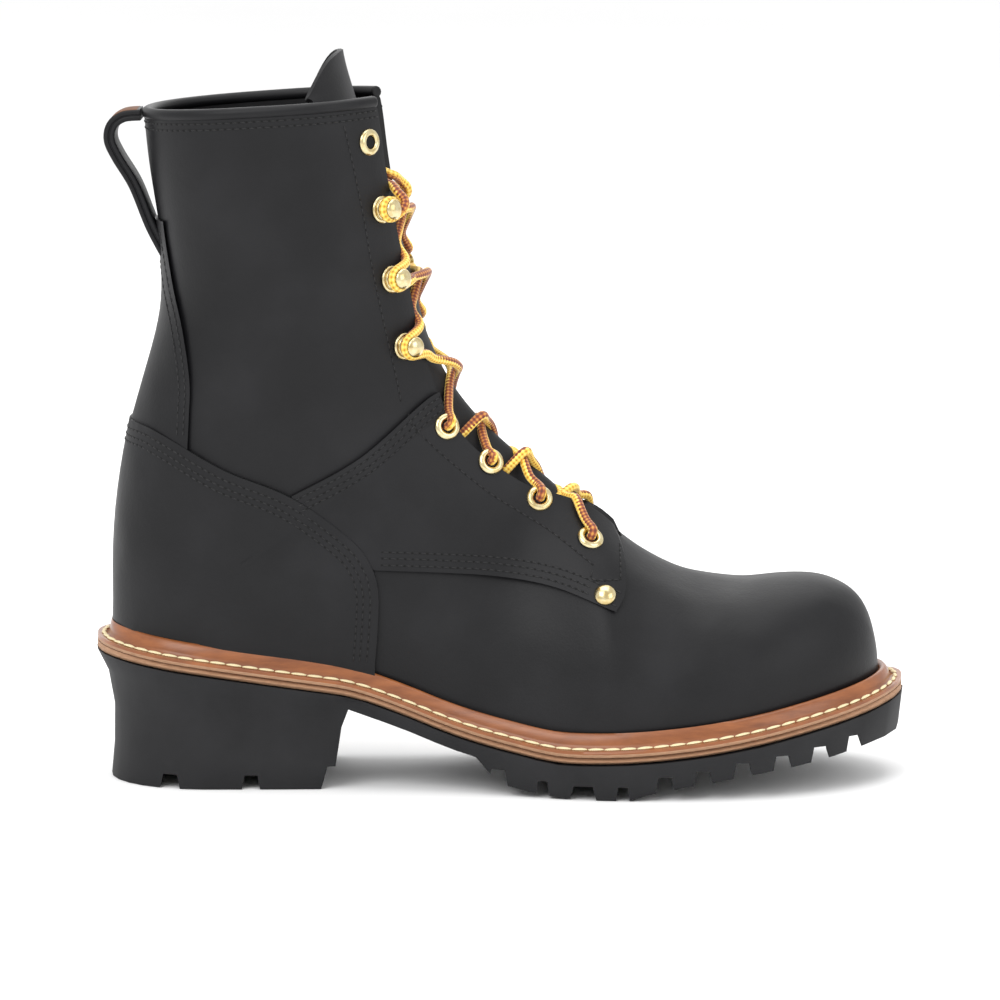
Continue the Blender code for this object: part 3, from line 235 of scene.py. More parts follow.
@dataclass(frozen=True)
class StackedLeather:
    """Vegetable-tanned leather: burnished on its grain side, fibrous on a cut edge."""

    name: str
    dark: str
    light: str
    roughness: float
    fibre_mm: float
    layer_mm: float
    bump_mm: float = 0.10

    def material(self) -> bpy.types.Material:
        """Build the material: fibres run level round the boot, thin in height."""
        made, tree, shader = new_material(self.name, self.roughness)
        stretch = add_node(tree, "ShaderNodeMapping",
                           {"Scale": (1.0 / self.fibre_mm, 1.0 / self.fibre_mm, 1.0 / self.layer_mm)},
                           {"Vector": object_coords(tree)})
        fibre = add_node(tree, "ShaderNodeTexNoise", {"Scale": 1.0 / MM, "Detail": 5.0, "Roughness": 0.6},
                         {"Vector": stretch.outputs[0]})
        tone = blend_colours(tree, fibre.outputs[0], ((0.30, self.dark), (0.68, self.light)))
        tree.links.new(tone, shader.inputs["Base Color"])
        bump = add_node(tree, "ShaderNodeBump", {"Strength": 0.35, "Distance": self.bump_mm * MM},
                        {"Height": fibre.outputs[0]})
        tree.links.new(bump.outputs[0], shader.inputs["Normal"])
        return made


@dataclass(frozen=True)
class PaleBrass:
    """Brass-plated steel, barrel polished: pale gold with a faint lacquer."""

    name: str = "pale_brass_plate"
    body: str = "#DCCFA6"
    warm: str = "#C6B07A"
    roughness: float = 0.22

    def material(self) -> bpy.types.Material:
        """Build the material."""
        made, tree, shader = new_material(self.name, self.roughness, 1.0)
        cloud = add_node(tree, "ShaderNodeTexNoise", {"Scale": 1.0 / (3.0 * MM), "Detail": 3.0},
                         {"Vector": object_coords(tree)})
        tone = blend_colours(tree, cloud.outputs[0], ((0.35, self.warm), (0.60, self.body)))
        tree.links.new(tone, shader.inputs["Base Color"])
        return made


@dataclass(frozen=True)
class SpunThread:
    """Bonded sewing thread: twisted plies seen as fine slanting ridges, the grooves between them painted darker as
    painted shade.
    """

    name: str
    body: str
    shade: str
    roughness: float = 0.6
    ply_mm: float = 0.5

    def material(self) -> bpy.types.Material:
        """Build the material."""
        made, tree, shader = new_material(self.name, self.roughness)
        coords = object_coords(tree)
        wave = add_node(tree, "ShaderNodeTexWave", {"Scale": 0.5 / (self.ply_mm * MM), "Distortion": 1.5},
                        {"Vector": coords}, bands_direction="DIAGONAL")
        # The darker colour in the grooves between plies is painted shade.
        tone = blend_colours(tree, wave.outputs["Fac"], ((0.15, self.shade), (0.65, self.body)))
        tree.links.new(tone, shader.inputs["Base Color"])
        bump = add_node(tree, "ShaderNodeBump", {"Strength": 0.4, "Distance": 0.15 * MM},
                        {"Height": wave.outputs["Fac"]})
        tree.links.new(bump.outputs[0], shader.inputs["Normal"])
        return made


@dataclass(frozen=True)
class BraidedCord:
    """Round nylon bootlace: gold strands braided with red-brown tracers."""

    name: str = "gold_and_brown_braid"
    gold: str = "#F2C03E"
    # pale: painted highlight on the gold strands' crests
    pale: str = "#FBDD7A"
    brown: str = "#8A3A1C"
    turns: float = 6.0
    strand_mm: float = 1.5
    winding_mm: float = 85.0
    tracer_share: float = 0.36

    def material(self) -> bpy.types.Material:
        """Build the material: two sets of crossing strands from the cord's own UV, coloured darker in the gaps (painted
        shade) and lighter on the crests (painted highlight).

        U runs round the cord from 0 to 1 and V along it in metres.
        """
        made, tree, shader = new_material(self.name, 0.58)
        uv = add_node(tree, "ShaderNodeUVMap", uv_map="UVMap").outputs[0]
        split = add_node(tree, "ShaderNodeSeparateXYZ", links={0: uv})

        def times(source: bpy.types.NodeSocket, factor: float) -> bpy.types.NodeSocket:
            """Value times a number."""
            return add_node(tree, "ShaderNodeMath", {1: factor}, {0: source}, operation="MULTIPLY").outputs[0]

        def paired(first: bpy.types.NodeSocket, second: bpy.types.NodeSocket,
                   operation: str) -> bpy.types.NodeSocket:
            """Two values through one operation."""
            return add_node(tree, "ShaderNodeMath", links={0: first, 1: second}, operation=operation).outputs[0]

        around = times(split.outputs[0], self.turns)
        run = times(split.outputs[1], 1.0 / (self.strand_mm * MM))
        waves = []
        for operation in ("ADD", "SUBTRACT"):
            turn = times(paired(run, around, operation), math.pi)
            waves.append(add_node(tree, "ShaderNodeMath", links={0: turn}, operation="SINE").outputs[0])
        weave = paired(waves[0], waves[1], "MULTIPLY")
        level = add_node(tree, "ShaderNodeMapRange", {1: -1.0, 2: 1.0}, {0: weave}).outputs[0]
        slow = times(split.outputs[1], 1.0 / (self.winding_mm * MM))
        ragged = times(weave, 0.055)
        spot = paired(paired(split.outputs[0], slow, "ADD"), ragged, "ADD")
        beat = add_node(tree, "ShaderNodeMath", links={0: spot}, operation="FRACT").outputs[0]
        mask = add_node(tree, "ShaderNodeMath", {1: self.tracer_share}, {0: beat}, operation="LESS_THAN").outputs[0]
        # Colour follows the weave's height: painted shade in the gaps between strands, painted highlight on their
        # crests.
        gold = blend_colours(tree, level, ((0.05, "#B47A1C"), (0.40, self.gold), (0.9, self.pale)))
        brown = blend_colours(tree, level, ((0.10, "#5A2412"), (0.45, self.brown), (0.92, "#C98A3A")))
        mix = add_node(tree, "ShaderNodeMix", links={"Factor": mask}, data_type="RGBA")
        tree.links.new(gold, mix.inputs[6])
        tree.links.new(brown, mix.inputs[7])
        tree.links.new(mix.outputs[2], shader.inputs["Base Color"])
        bump = add_node(tree, "ShaderNodeBump", {"Strength": 0.6, "Distance": 0.2 * MM}, {"Height": level})
        tree.links.new(bump.outputs[0], shader.inputs["Normal"])
        shader.inputs["Sheen Weight"].default_value = 0.2
        return made


@dataclass(frozen=True)
class PlainFinish:
    """One-tone surface with a faint cloud, for linings, painted shade in holes, and the floor."""

    name: str
    body: str
    shade: str
    roughness: float = 0.8
    cloud_mm: float = 12.0

    def material(self) -> bpy.types.Material:
        """Build the material."""
        made, tree, shader = new_material(self.name, self.roughness)
        cloud = add_node(tree, "ShaderNodeTexNoise", {"Scale": 1.0 / (self.cloud_mm * MM), "Detail": 3.0},
                         {"Vector": object_coords(tree)})
        tone = blend_colours(tree, cloud.outputs[0], ((0.3, self.shade), (0.7, self.body)))
        tree.links.new(tone, shader.inputs["Base Color"])
        return made


# ---------------------------------------------------------------- modelling helpers

def deselect() -> None:
    """Leave every object unselected, in object mode."""
    if bpy.context.object and bpy.context.object.mode != "OBJECT":
        bpy.ops.object.mode_set(mode="OBJECT")
    bpy.ops.object.select_all(action="DESELECT")


def take(*things: bpy.types.Object) -> bpy.types.Object:
    """Select only these objects, the first one active."""
    deselect()
    for thing in things:
        thing.select_set(True)
    bpy.context.view_layer.objects.active = things[0]
    return things[0]


def finish_modifiers(thing: bpy.types.Object) -> None:
    """Apply all modifiers in order."""
    take(thing)
    for modifier in list(thing.modifiers):
        bpy.ops.object.modifier_apply(modifier=modifier.name)


def settle(thing: bpy.types.Object) -> None:
    """Bake an object's place and turn into its mesh."""
    take(thing)
    bpy.ops.object.transform_apply(location=True, rotation=True, scale=True)


def join(name: str, things: Sequence[bpy.types.Object]) -> bpy.types.Object:
    """Join objects into one named mesh."""
    made = take(*things)
    if len(things) > 1:
        bpy.ops.object.join()
    made.name = name
    return made


def remove(*things: bpy.types.Object) -> None:
    """Delete helper objects."""
    for thing in things:
        bpy.data.objects.remove(thing, do_unlink=True)


def from_bmesh(name: str, bm: bmesh.types.BMesh) -> bpy.types.Object:
    """Object of a bmesh, linked to the scene and freed."""
    mesh = bpy.data.meshes.new(name)
    bm.to_mesh(mesh)
    bm.free()
    made = bpy.data.objects.new(name, mesh)
    bpy.context.scene.collection.objects.link(made)
    return made


def copy_of(thing: bpy.types.Object, name: str) -> bpy.types.Object:
    """Copy with a mesh of its own."""
    made = bpy.data.objects.new(name, thing.data.copy())
    bpy.context.scene.collection.objects.link(made)
    return made


def dress(thing: bpy.types.Object, finish: object, replaced: Sequence[str] = (),
          soft_angle: float = 40.0) -> bpy.types.Object:
    """Give a finished piece its material, shading, body and replaced nodes.

    Args:
        thing: Finished mesh object.
        finish: Finish whose material it takes, or a material.
        replaced: CAD nodes that the piece stands for.
        soft_angle: Edges flatter than this many degrees are shaded smooth.

    Returns:
        The same object.
    """
    material = finish if isinstance(finish, bpy.types.Material) else shared_material(finish)
    if not [held for held in thing.data.materials if held]:
        thing.data.materials.clear()
        thing.data.materials.append(material)
    take(thing)
    bpy.ops.object.shade_smooth_by_angle(angle=math.radians(soft_angle))
    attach(thing, BODY)
    if replaced:
        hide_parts(*replaced)
    LOG.info("%s: %d faces", thing.name, len(thing.data.polygons))
    return thing


MADE: dict[str, bpy.types.Material] = {}


def shared_material(finish: object) -> bpy.types.Material:
    """Material of a finish, made once."""
    if finish.name not in MADE:
        MADE[finish.name] = finish.material()
    return MADE[finish.name]


class Surface:
    """Surfaces that thread, fittings and lace are laid on."""

    def __init__(self, things: Sequence[bpy.types.Object]) -> None:
        """Gather the meshes into one search tree."""
        verts: list[Vector] = []
        faces: list[list[int]] = []
        for thing in things:
            base = len(verts)
            verts.extend(v.co.copy() for v in thing.data.vertices)
            faces.extend([base + i for i in p.vertices] for p in thing.data.polygons)
        self.tree = BVHTree.FromPolygons(verts, faces)

    def hit(self, start: Vector, toward: Vector) -> tuple[Vector, Vector] | None:
        """First point met from a start, and the normal facing back."""
        place, normal, _, _ = self.tree.ray_cast(start, toward.normalized())
        if place is None:
            return None
        return place, (normal if normal.dot(toward) < 0.0 else -normal)

    def from_side(self, x: float, z: float, side: Side) -> tuple[Vector, Vector] | None:
        """Point seen from one side at a place of the side view, in metres."""
        return self.hit(Vector((x, side.value * 0.3, z)), Vector((0.0, -side.value, 0.0)))

    def round_axis(self, axis_x: float, z: float, turn: float) -> tuple[Vector, Vector] | None:
        """Point met looking level at an upright axis from outside.

        Args:
            axis_x: Place of the axis.
            z: Height.
            turn: Radians from the toe direction, positive to the inner side.
        """
        way = Vector((math.cos(turn), math.sin(turn), 0.0))
        axis = Vector((axis_x, CENTRE_Y, z))
        hit = self.hit(axis + way * 0.3, -way)
        return hit if hit and (hit[0] - axis).dot(way) > 0.0 else None


CENTRE_Y = 0.0026
LENGTH = 0.310
COLLAR = 0.253


def place(share: float, height: float) -> tuple[float, float]:
    """Side-view place in metres from shares of the sole's length and the collar's height."""
    return (share - 0.5) * LENGTH, height * COLLAR


def rounded_line(corners: Sequence[tuple[float, float]], step: float = 0.0012,
                 closed: bool = False) -> list[tuple[float, float]]:
    """Points of a soft curve through corners, evenly spaced.

    Args:
        corners: Places in one plane.
        step: Spacing of the points.
        closed: Whether the curve returns to its start.

    Returns:
        Places along the curve.
    """
    points = [Vector(c) for c in corners]
    count = len(points)
    dense: list[Vector] = []
    for i in range(count if closed else count - 1):
        before = points[(i - 1) % count] if closed or i > 0 else points[i]
        a, b = points[i], points[(i + 1) % count]
        after = points[(i + 2) % count] if closed or i + 2 < count else b
        for k in range(12):
            t = k / 12.0
            dense.append(0.5 * ((2.0 * a) + (b - before) * t + (2.0 * before - 5.0 * a + 4.0 * b - after) * t * t
                                + (3.0 * a - before - 3.0 * b + after) * t ** 3))
    dense.append(points[0] if closed else points[-1])
    return even_steps(dense, step)


def even_steps(points: Sequence[Vector], step: float) -> list[Vector]:
    """Points at an even spacing along a line, its ends kept."""
    total = sum((b - a).length for a, b in zip(points, points[1:]))
    count = max(int(round(total / step)), 1)
    made = [points[0]]
    walked, goal = 0.0, total / count
    for a, b in zip(points, points[1:]):
        length = (b - a).length
        while length > 0.0 and walked + length >= goal - 1e-12 and len(made) < count:
            made.append(a.lerp(b, (goal - walked) / length))
            goal += total / count
        walked += length
    made.append(points[-1])
    return made


def shifted(line: Sequence[Vector], distance: float) -> list[Vector]:
    """Line moved sideways in the side view, to the left of its direction."""
    made = []
    for i, point in enumerate(line):
        ahead = line[min(i + 1, len(line) - 1)] - line[max(i - 1, 0)]
        if ahead.length > 0.0:
            made.append(point + Vector((-ahead.y, ahead.x)).normalized() * distance)
    return made


def swept(name: str, path: Sequence[Vector], radius: float, sides: int = 12,
          flat: float = 1.0, up: Sequence[Vector] | None = None) -> bpy.types.Object:
    """Round or oval strand along a path, with V of its UV map in metres.

    Args:
        name: Name of the object.
        path: Points along the middle.
        radius: Half of its width.
        sides: Faces round it.
        flat: Thickness as a share of the width.
        up: Direction of the thin way at each point, for an oval strand.

    Returns:
        A closed mesh.
    """
    bm = bmesh.new()
    layer = bm.loops.layers.uv.new("UVMap")
    rings, runs = [], []
    run = 0.0
    normal = Vector((0.0, 0.0, 1.0))
    for i, point in enumerate(path):
        ahead = (path[min(i + 1, len(path) - 1)] - path[max(i - 1, 0)]).normalized()
        normal = up[i] if up else normal
        normal = (normal - ahead * normal.dot(ahead))
        normal = normal.normalized() if normal.length > 1e-6 else ahead.orthogonal().normalized()
        across = ahead.cross(normal)
        ring = []
        for k in range(sides):
            turn = 2.0 * math.pi * k / sides
            ring.append(bm.verts.new(point + across * radius * math.cos(turn)
                                     + normal * radius * flat * math.sin(turn)))
        if i:
            run += (point - path[i - 1]).length
        rings.append(ring)
        runs.append(run)
    for i, (first, second) in enumerate(zip(rings, rings[1:])):
        for k in range(sides):
            j = (k + 1) % sides
            face = bm.faces.new((first[k], first[j], second[j], second[k]))
            shares = ((k, runs[i]), (k + 1, runs[i]), (k + 1, runs[i + 1]), (k, runs[i + 1]))
            for loop, (u, v) in zip(face.loops, shares):
                loop[layer].uv = (u / sides, v)
    for ring, end in ((rings[0][::-1], 0), (rings[-1], -1)):
        face = bm.faces.new(ring)
        for loop in face.loops:
            loop[layer].uv = (0.5, runs[end])
    bmesh.ops.recalc_face_normals(bm, faces=bm.faces)
    return from_bmesh(name, bm)


# ---------------------------------------------------------------- leather skins

@dataclass
class Crease:
    """One soft fold, placed in the side view.

    Attributes:
        line: Places along it, millimetres from mid-length and above the floor.
        width: Half of its trough, mm.
        depth: Depth of its trough, mm; a ridge has a negative depth.
        sides: Sides of the boot that it is on.
    """

    line: Sequence[tuple[float, float]]
    width: float
    depth: float
    sides: tuple[Side, ...] = (Side.LATERAL, Side.MEDIAL)

    def push(self, point: Vector) -> float:
        """How far a point of the skin moves out, metres."""
        side = Side.LATERAL if point.y < CENTRE_Y else Side.MEDIAL
        if side not in self.sides:
            return 0.0
        spot = Vector((point.x / MM, point.z / MM))
        nearest, share, walked = 1e9, 0.0, 0.0
        total = sum((Vector(b) - Vector(a)).length for a, b in zip(self.line, self.line[1:]))
        for a, b in zip(self.line, self.line[1:]):
            start, way = Vector(a), Vector(b) - Vector(a)
            t = min(max((spot - start).dot(way) / way.length_squared, 0.0), 1.0)
            gap = (spot - start - way * t).length
            if gap < nearest:
                nearest, share = gap, (walked + way.length * t) / total
            walked += way.length
        if nearest > 4.5 * self.width:
            return 0.0
        fade = math.sin(math.pi * min(max(share, 0.0), 1.0)) ** 0.6 if 0.0 < share < 1.0 else 0.0
        ratio = nearest / self.width
        trough = math.exp(-ratio * ratio)
        shoulder = 0.45 * math.exp(-(ratio - 1.9) ** 2)
        return (shoulder - trough) * self.depth * MM * fade


def outer_sheet(node: str, name: str, start: Vector, bend: float = 52.0) -> bpy.types.Object:
    """Outer face of a thick CAD solid, as an open sheet of its own.

    Args:
        node: CAD node.
        name: Name of the new sheet.
        start: A place near the outer face to grow from.
        bend: Sharpest edge, in degrees, that the sheet crosses.

    Returns:
        The sheet, in quads where the solid's faces allow.
    """
    sheet = copy_of(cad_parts[node], name)
    bm = bmesh.new()
    bm.from_mesh(sheet.data)
    bmesh.ops.remove_doubles(bm, verts=bm.verts, dist=0.00002)
    bm.normal_update()
    bm.faces.ensure_lookup_table()
    seed = min(bm.faces, key=lambda f: (f.calc_center_median() - start).length)
    limit = math.radians(bend)
    kept, queue = {seed}, [seed]
    while queue:
        face = queue.pop()
        for edge in face.edges:
            for other in edge.link_faces:
                if other not in kept and face.normal.angle(other.normal, 0.0) < limit:
                    kept.add(other)
                    queue.append(other)
    bmesh.ops.delete(bm, geom=[f for f in bm.faces if f not in kept], context="FACES")
    bmesh.ops.join_triangles(bm, faces=bm.faces, angle_face_threshold=math.radians(50),
                             angle_shape_threshold=math.radians(70))
    bm.to_mesh(sheet.data)
    bm.free()
    sheet.data.materials.clear()
    return sheet


def soften(sheet: bpy.types.Object, levels: int) -> None:
    """Subdivide a coarse sheet so that its smooth surface runs through the CAD's points."""
    bm = bmesh.new()
    bm.from_mesh(sheet.data)
    moved = {}
    for vert in bm.verts:
        if vert.is_boundary:
            near = [e.other_vert(vert).co for e in vert.link_edges if e.is_boundary]
            pull = 0.33
        else:
            near = [e.other_vert(vert).co for e in vert.link_edges]
            pull = 0.62
        mean = sum(near, Vector()) / max(len(near), 1)
        moved[vert] = vert.co + (vert.co - mean) * pull
    for vert, co in moved.items():
        vert.co = co
    bm.to_mesh(sheet.data)
    bm.free()
    smooth = sheet.modifiers.new("soft", "SUBSURF")
    smooth.levels = smooth.render_levels = levels
    smooth.boundary_smooth = "ALL"
    finish_modifiers(sheet)


def crease_sheet(sheet: bpy.types.Object, creases: Sequence[Crease]) -> None:
    """Move the points of a sheet along their normals by all creases."""
    normals = [v.normal.copy() for v in sheet.data.vertices]
    for vert, normal in zip(sheet.data.vertices, normals):
        push = sum(crease.push(vert.co) for crease in creases)
        if push:
            vert.co += normal * push


def offset_shell(sheet: bpy.types.Object, name: str, low: float, high: float,
                 keep: Callable[[Vector], bool] | None = None) -> bpy.types.Object:
    """Closed wall between two heights above a sheet, in metres.

    Args:
        sheet: Open sheet whose normals point out.
        name: Name of the wall.
        low: Height of its inner face.
        high: Height of its outer face.
        keep: Says of a face's middle whether the wall has it.

    Returns:
        The wall as a closed mesh.
    """
    shell = copy_of(sheet, name)
    normals = [v.normal.copy() for v in sheet.data.vertices]
    for _ in range(12 if keep else 0):
        around = [normal.copy() for normal in normals]
        for edge in sheet.data.edges:
            first, second = edge.vertices
            around[first] += normals[second]
            around[second] += normals[first]
        normals = [way.normalized() for way in around]
    for vert, normal in zip(shell.data.vertices, normals):
        vert.co += normal * high
    if keep:
        bm = bmesh.new()
        bm.from_mesh(shell.data)
        bmesh.ops.delete(bm, geom=[f for f in bm.faces if not keep(f.calc_center_median())], context="FACES")
        for _ in range(14):
            bmesh.ops.smooth_vert(bm, verts=[v for v in bm.verts if not v.is_boundary], factor=0.5,
                                  use_axis_x=True, use_axis_y=True, use_axis_z=True)
        bm.to_mesh(shell.data)
        bm.free()
    wall = shell.modifiers.new("wall", "SOLIDIFY")
    wall.thickness = high - low
    wall.offset = -1.0
    wall.use_even_offset = False
    finish_modifiers(shell)
    return shell


def side_cutter(outline: Sequence[tuple[float, float]], low_y: float, high_y: float) -> bpy.types.Object:
    """Upright prism of a side-view outline, between two places across the boot."""
    bm = bmesh.new()
    ring = [bm.verts.new((p[0], low_y, p[1])) for p in outline]
    face = bm.faces.new(ring)
    side = from_bmesh("side_cutter", bm)
    take(side)
    bpy.ops.object.mode_set(mode="EDIT")
    bpy.ops.mesh.select_all(action="SELECT")
    bpy.ops.mesh.extrude_region_move(TRANSFORM_OT_translate={"value": (0.0, high_y - low_y, 0.0)})
    bpy.ops.mesh.select_all(action="SELECT")
    bpy.ops.mesh.normals_make_consistent(inside=False)
    bpy.ops.object.mode_set(mode="OBJECT")
    return side


def keep_inside(thing: bpy.types.Object, cutter: bpy.types.Object) -> None:
    """Cut a closed wall to a cutter's outline."""
    modifier = thing.modifiers.new("cut", "BOOLEAN")
    modifier.operation = "INTERSECT"
    modifier.solver = "MANIFOLD"
    modifier.object = cutter
    finish_modifiers(thing)
    remove(cutter)


# ---------------------------------------------------------------- finishes of this boot

LEATHER = OiledLeather()
TONGUE_LEATHER = OiledLeather(name="oiled_black_tongue_leather", deep="#121213", body="#18181A", rubbed="#202022",
                              roughness=0.55)
LINING = PlainFinish("black_lining_leather", "#38373A", "#2A292C", 0.75, 10.0)
RUBBER = MouldedRubber()
WELT_LEATHER = StackedLeather("burnished_welt_leather", "#74401F", "#94582F", 0.30, 14.0, 3.0, 0.05)
MIDSOLE_LEATHER = StackedLeather("raw_edge_sole_leather", "#8C664A", "#B08A6C", 0.72, 3.0, 0.22)
RAW_EDGE = StackedLeather("raw_strap_edge", "#4A3020", "#7A5032", 0.8, 2.0, 0.4)
BRASS = PaleBrass()
BRAID = BraidedCord()
# Each thread's darker colour is painted shade in the grooves between its plies.
CREAM_THREAD = SpunThread("waxed_cream_thread", "#F5EAC4", "#C9B27E")
BLACK_THREAD = SpunThread("bonded_black_thread", "#0F0F11", "#070708", 0.62)
# Near-black for eyelet openings and needle holes: painted shade inside the holes.
HOLE_SHADE = PlainFinish("shadowed_hole", "#050505", "#030303", 0.95, 5.0)

# Edges of the overlays in the side view: share of the sole's length, share of the collar's height
COUNTER_TOP = ((-0.02, 0.545), (0.052, 0.545), (0.094, 0.529), (0.166, 0.484), (0.245, 0.444), (0.317, 0.380),
               (0.342, 0.341), (0.3512, 0.304), (0.3512, 0.259), (0.3470, 0.190))
QUARTER_TOP = ((0.247, 0.4453), (0.330, 0.500), (0.415, 0.586), (0.452, 0.592), (0.475, 0.592))
QUARTER_FRONT = ((0.700, 0.470), (0.640, 0.384), (0.652, 0.345), (0.652, 0.300), (0.640, 0.274))
QUARTER_FOOT = ((0.640, 0.274), (0.572, 0.304), (0.500, 0.319), (0.415, 0.328), (0.3475, 0.333))
STAY_FRONT = ((0.120, 0.512), (0.122, 0.560), (0.123, 0.615), (0.114, 0.688), (0.102, 0.750), (0.093, 0.815),
              (0.090, 0.848))
EYELETS = ((0.6100, 0.3745), (0.5480, 0.4300), (0.4884, 0.4858), (0.4348, 0.5400))
TOP_EYELET = (0.3420, 0.9700)
HOOKS = ((0.3832, 0.6640), (0.3677, 0.7652), (0.3561, 0.8692))
RIVET = (0.6271, 0.2976)


def in_place(corners: Sequence[tuple[float, float]]) -> list[tuple[float, float]]:
    """Side-view shares turned to metres."""
    return [place(*corner) for corner in corners]


@dataclass
class Upper:
    """Vamp, shaft and tongue: soft skins over the frame's solids."""

    wall_mm: float = 2.4
    arch_foot: float = 0.2600
    arch_fall: float = 0.88
    creases: tuple[Crease, ...] = (
        Crease(((-30.0, 150.0), (-60.0, 158.0), (-95.0, 152.0)), 7.0, 0.55),
        Crease(((-28.0, 164.0), (-62.0, 172.0), (-98.0, 176.0)), 8.0, 0.45),
        Crease(((62.0, 92.0), (72.0, 78.0), (80.0, 64.0)), 7.0, 0.6),
        Crease(((80.0, 82.0), (92.0, 74.0), (98.0, 62.0)), 8.0, 0.4),
    )
    skin: bpy.types.Object | None = None
    tongue_skin: bpy.types.Object | None = None

    def build(self) -> None:
        """Make the upper and the tongue."""
        self.skin = outer_sheet("upper", "upper_sheet", Vector((0.07, -0.055, 0.05)))
        soften(self.skin, 2)
        crease_sheet(self.skin, self.creases)
        self.tongue_skin = outer_sheet("tongue", "tongue_sheet", Vector((0.0, CENTRE_Y, 0.125)), 60.0)
        soften(self.tongue_skin, 2)
        self.arch_tongue()

    def arch_tongue(self) -> None:
        """Round the tongue's top corners down to the collar, into a broad arch."""
        raised = [v for v in self.tongue_skin.data.vertices if v.co.z > self.arch_foot]
        reach = max(abs(v.co.y - CENTRE_Y) for v in raised)
        for vert in raised:
            share = abs(vert.co.y - CENTRE_Y) / reach
            vert.co.z = self.arch_foot + (vert.co.z - self.arch_foot) * (1.0 - self.arch_fall * share ** 3.4)

    def finish(self) -> None:
        """Thicken and dress the skins."""
        for sheet, node, thick, finish in ((self.skin, "upper", self.wall_mm, LEATHER),
                                           (self.tongue_skin, "tongue", 2.2, TONGUE_LEATHER)):
            shell = offset_shell(sheet, f"{node}_leather", -thick * MM, 0.0)
            dress(shell, finish, (node,), 50.0)
            remove(sheet)


@dataclass
class Overlays:
    """Counter, quarters and back stay, cut from the upper's own skin."""

    skin: bpy.types.Object
    gap_mm: float = 0.08
    thick_mm: float = 1.7
    counter_mm: float = 2.3
    made: list[bpy.types.Object] = field(default_factory=list)

    def cut(self, name: str, outline: Sequence[tuple[float, float]], thick_mm: float, low_y: float,
            high_y: float) -> bpy.types.Object:
        """Cut one overlay from a wall over the skin."""
        margin = 0.006
        low = Vector((min(p[0] for p in outline), min(p[1] for p in outline)))
        high = Vector((max(p[0] for p in outline), max(p[1] for p in outline)))

        def near(spot: Vector) -> bool:
            """Whether a place is near the outline and between its two limits."""
            return (low.x - margin < spot.x < high.x + margin and low.y - margin < spot.z < high.y + margin
                    and low_y - margin < spot.y < high_y + margin)

        shell = offset_shell(self.skin, f"{name}_leather", self.gap_mm * MM, (self.gap_mm + thick_mm) * MM, near)
        keep_inside(shell, side_cutter(outline, low_y, high_y))
        self.made.append(shell)
        return shell

    def build(self) -> None:
        """Cut all overlays."""
        counter = rounded_line(in_place(COUNTER_TOP), 0.003)
        low = [place(s, h) for s, h in ((0.345, 0.10), (-0.06, 0.10), (-0.06, 0.545))]
        self.cut("counter", [tuple(p) for p in counter] + low, self.counter_mm, -0.08, 0.08)
        quarter = rounded_line(in_place(QUARTER_TOP), 0.003)
        front = [Vector(p) for p in in_place(QUARTER_FRONT[:2])] + rounded_line(in_place(QUARTER_FRONT[1:]), 0.003)
        foot = rounded_line(in_place(QUARTER_FOOT), 0.003)
        hidden = in_place(((0.338, 0.337), (0.300, 0.385), (0.247, 0.428)))
        outline = [tuple(p) for p in quarter[:-1]] + [place(0.520, 0.600)] + [tuple(p) for p in front[:-1]] \
            + [tuple(p) for p in foot] + hidden
        for side in Side:
            near, far = (-0.08, CENTRE_Y - 0.003) if side is Side.LATERAL else (CENTRE_Y + 0.003, 0.08)
            self.cut(f"quarter_{side.word}", outline, self.thick_mm, near, far)
        stay = rounded_line(in_place(STAY_FRONT), 0.003)
        back = in_place(((-0.06, 0.848), (-0.06, 0.512)))
        self.cut("back_stay", [tuple(p) for p in stay] + back, self.thick_mm, -0.08, 0.08)

    def finish(self) -> None:
        """Dress the overlays."""
        for piece in self.made:
            dress(piece, LEATHER, (piece.name.replace("_leather", ""),), 35.0)


@dataclass
class Sole:
    """Moulded rubber unit and insole."""

    edge_mm: float = 0.45

    def build(self) -> None:
        """Soften the sole's moulded edges and dress the insole."""
        rubber = copy_of(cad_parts["outsole"], "outsole_rubber")
        bm = bmesh.new()
        bm.from_mesh(rubber.data)
        bmesh.ops.remove_doubles(bm, verts=bm.verts, dist=0.00002)
        bmesh.ops.dissolve_limit(bm, angle_limit=math.radians(1.0), verts=bm.verts, edges=bm.edges)
        bm.to_mesh(rubber.data)
        bm.free()
        rubber.data.materials.clear()
        edge = rubber.modifiers.new("moulded_edge", "BEVEL")
        edge.width = self.edge_mm * MM
        edge.segments = 2
        edge.limit_method = "ANGLE"
        edge.angle_limit = math.radians(38.0)
        edge.use_clamp_overlap = True
        finish_modifiers(rubber)
        dress(rubber, RUBBER, ("outsole",), 33.0)
        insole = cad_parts["insole"]
        insole.data.materials.clear()
        insole.data.materials.append(shared_material(LINING))
        LOG.info("insole keeps the frame's shape")


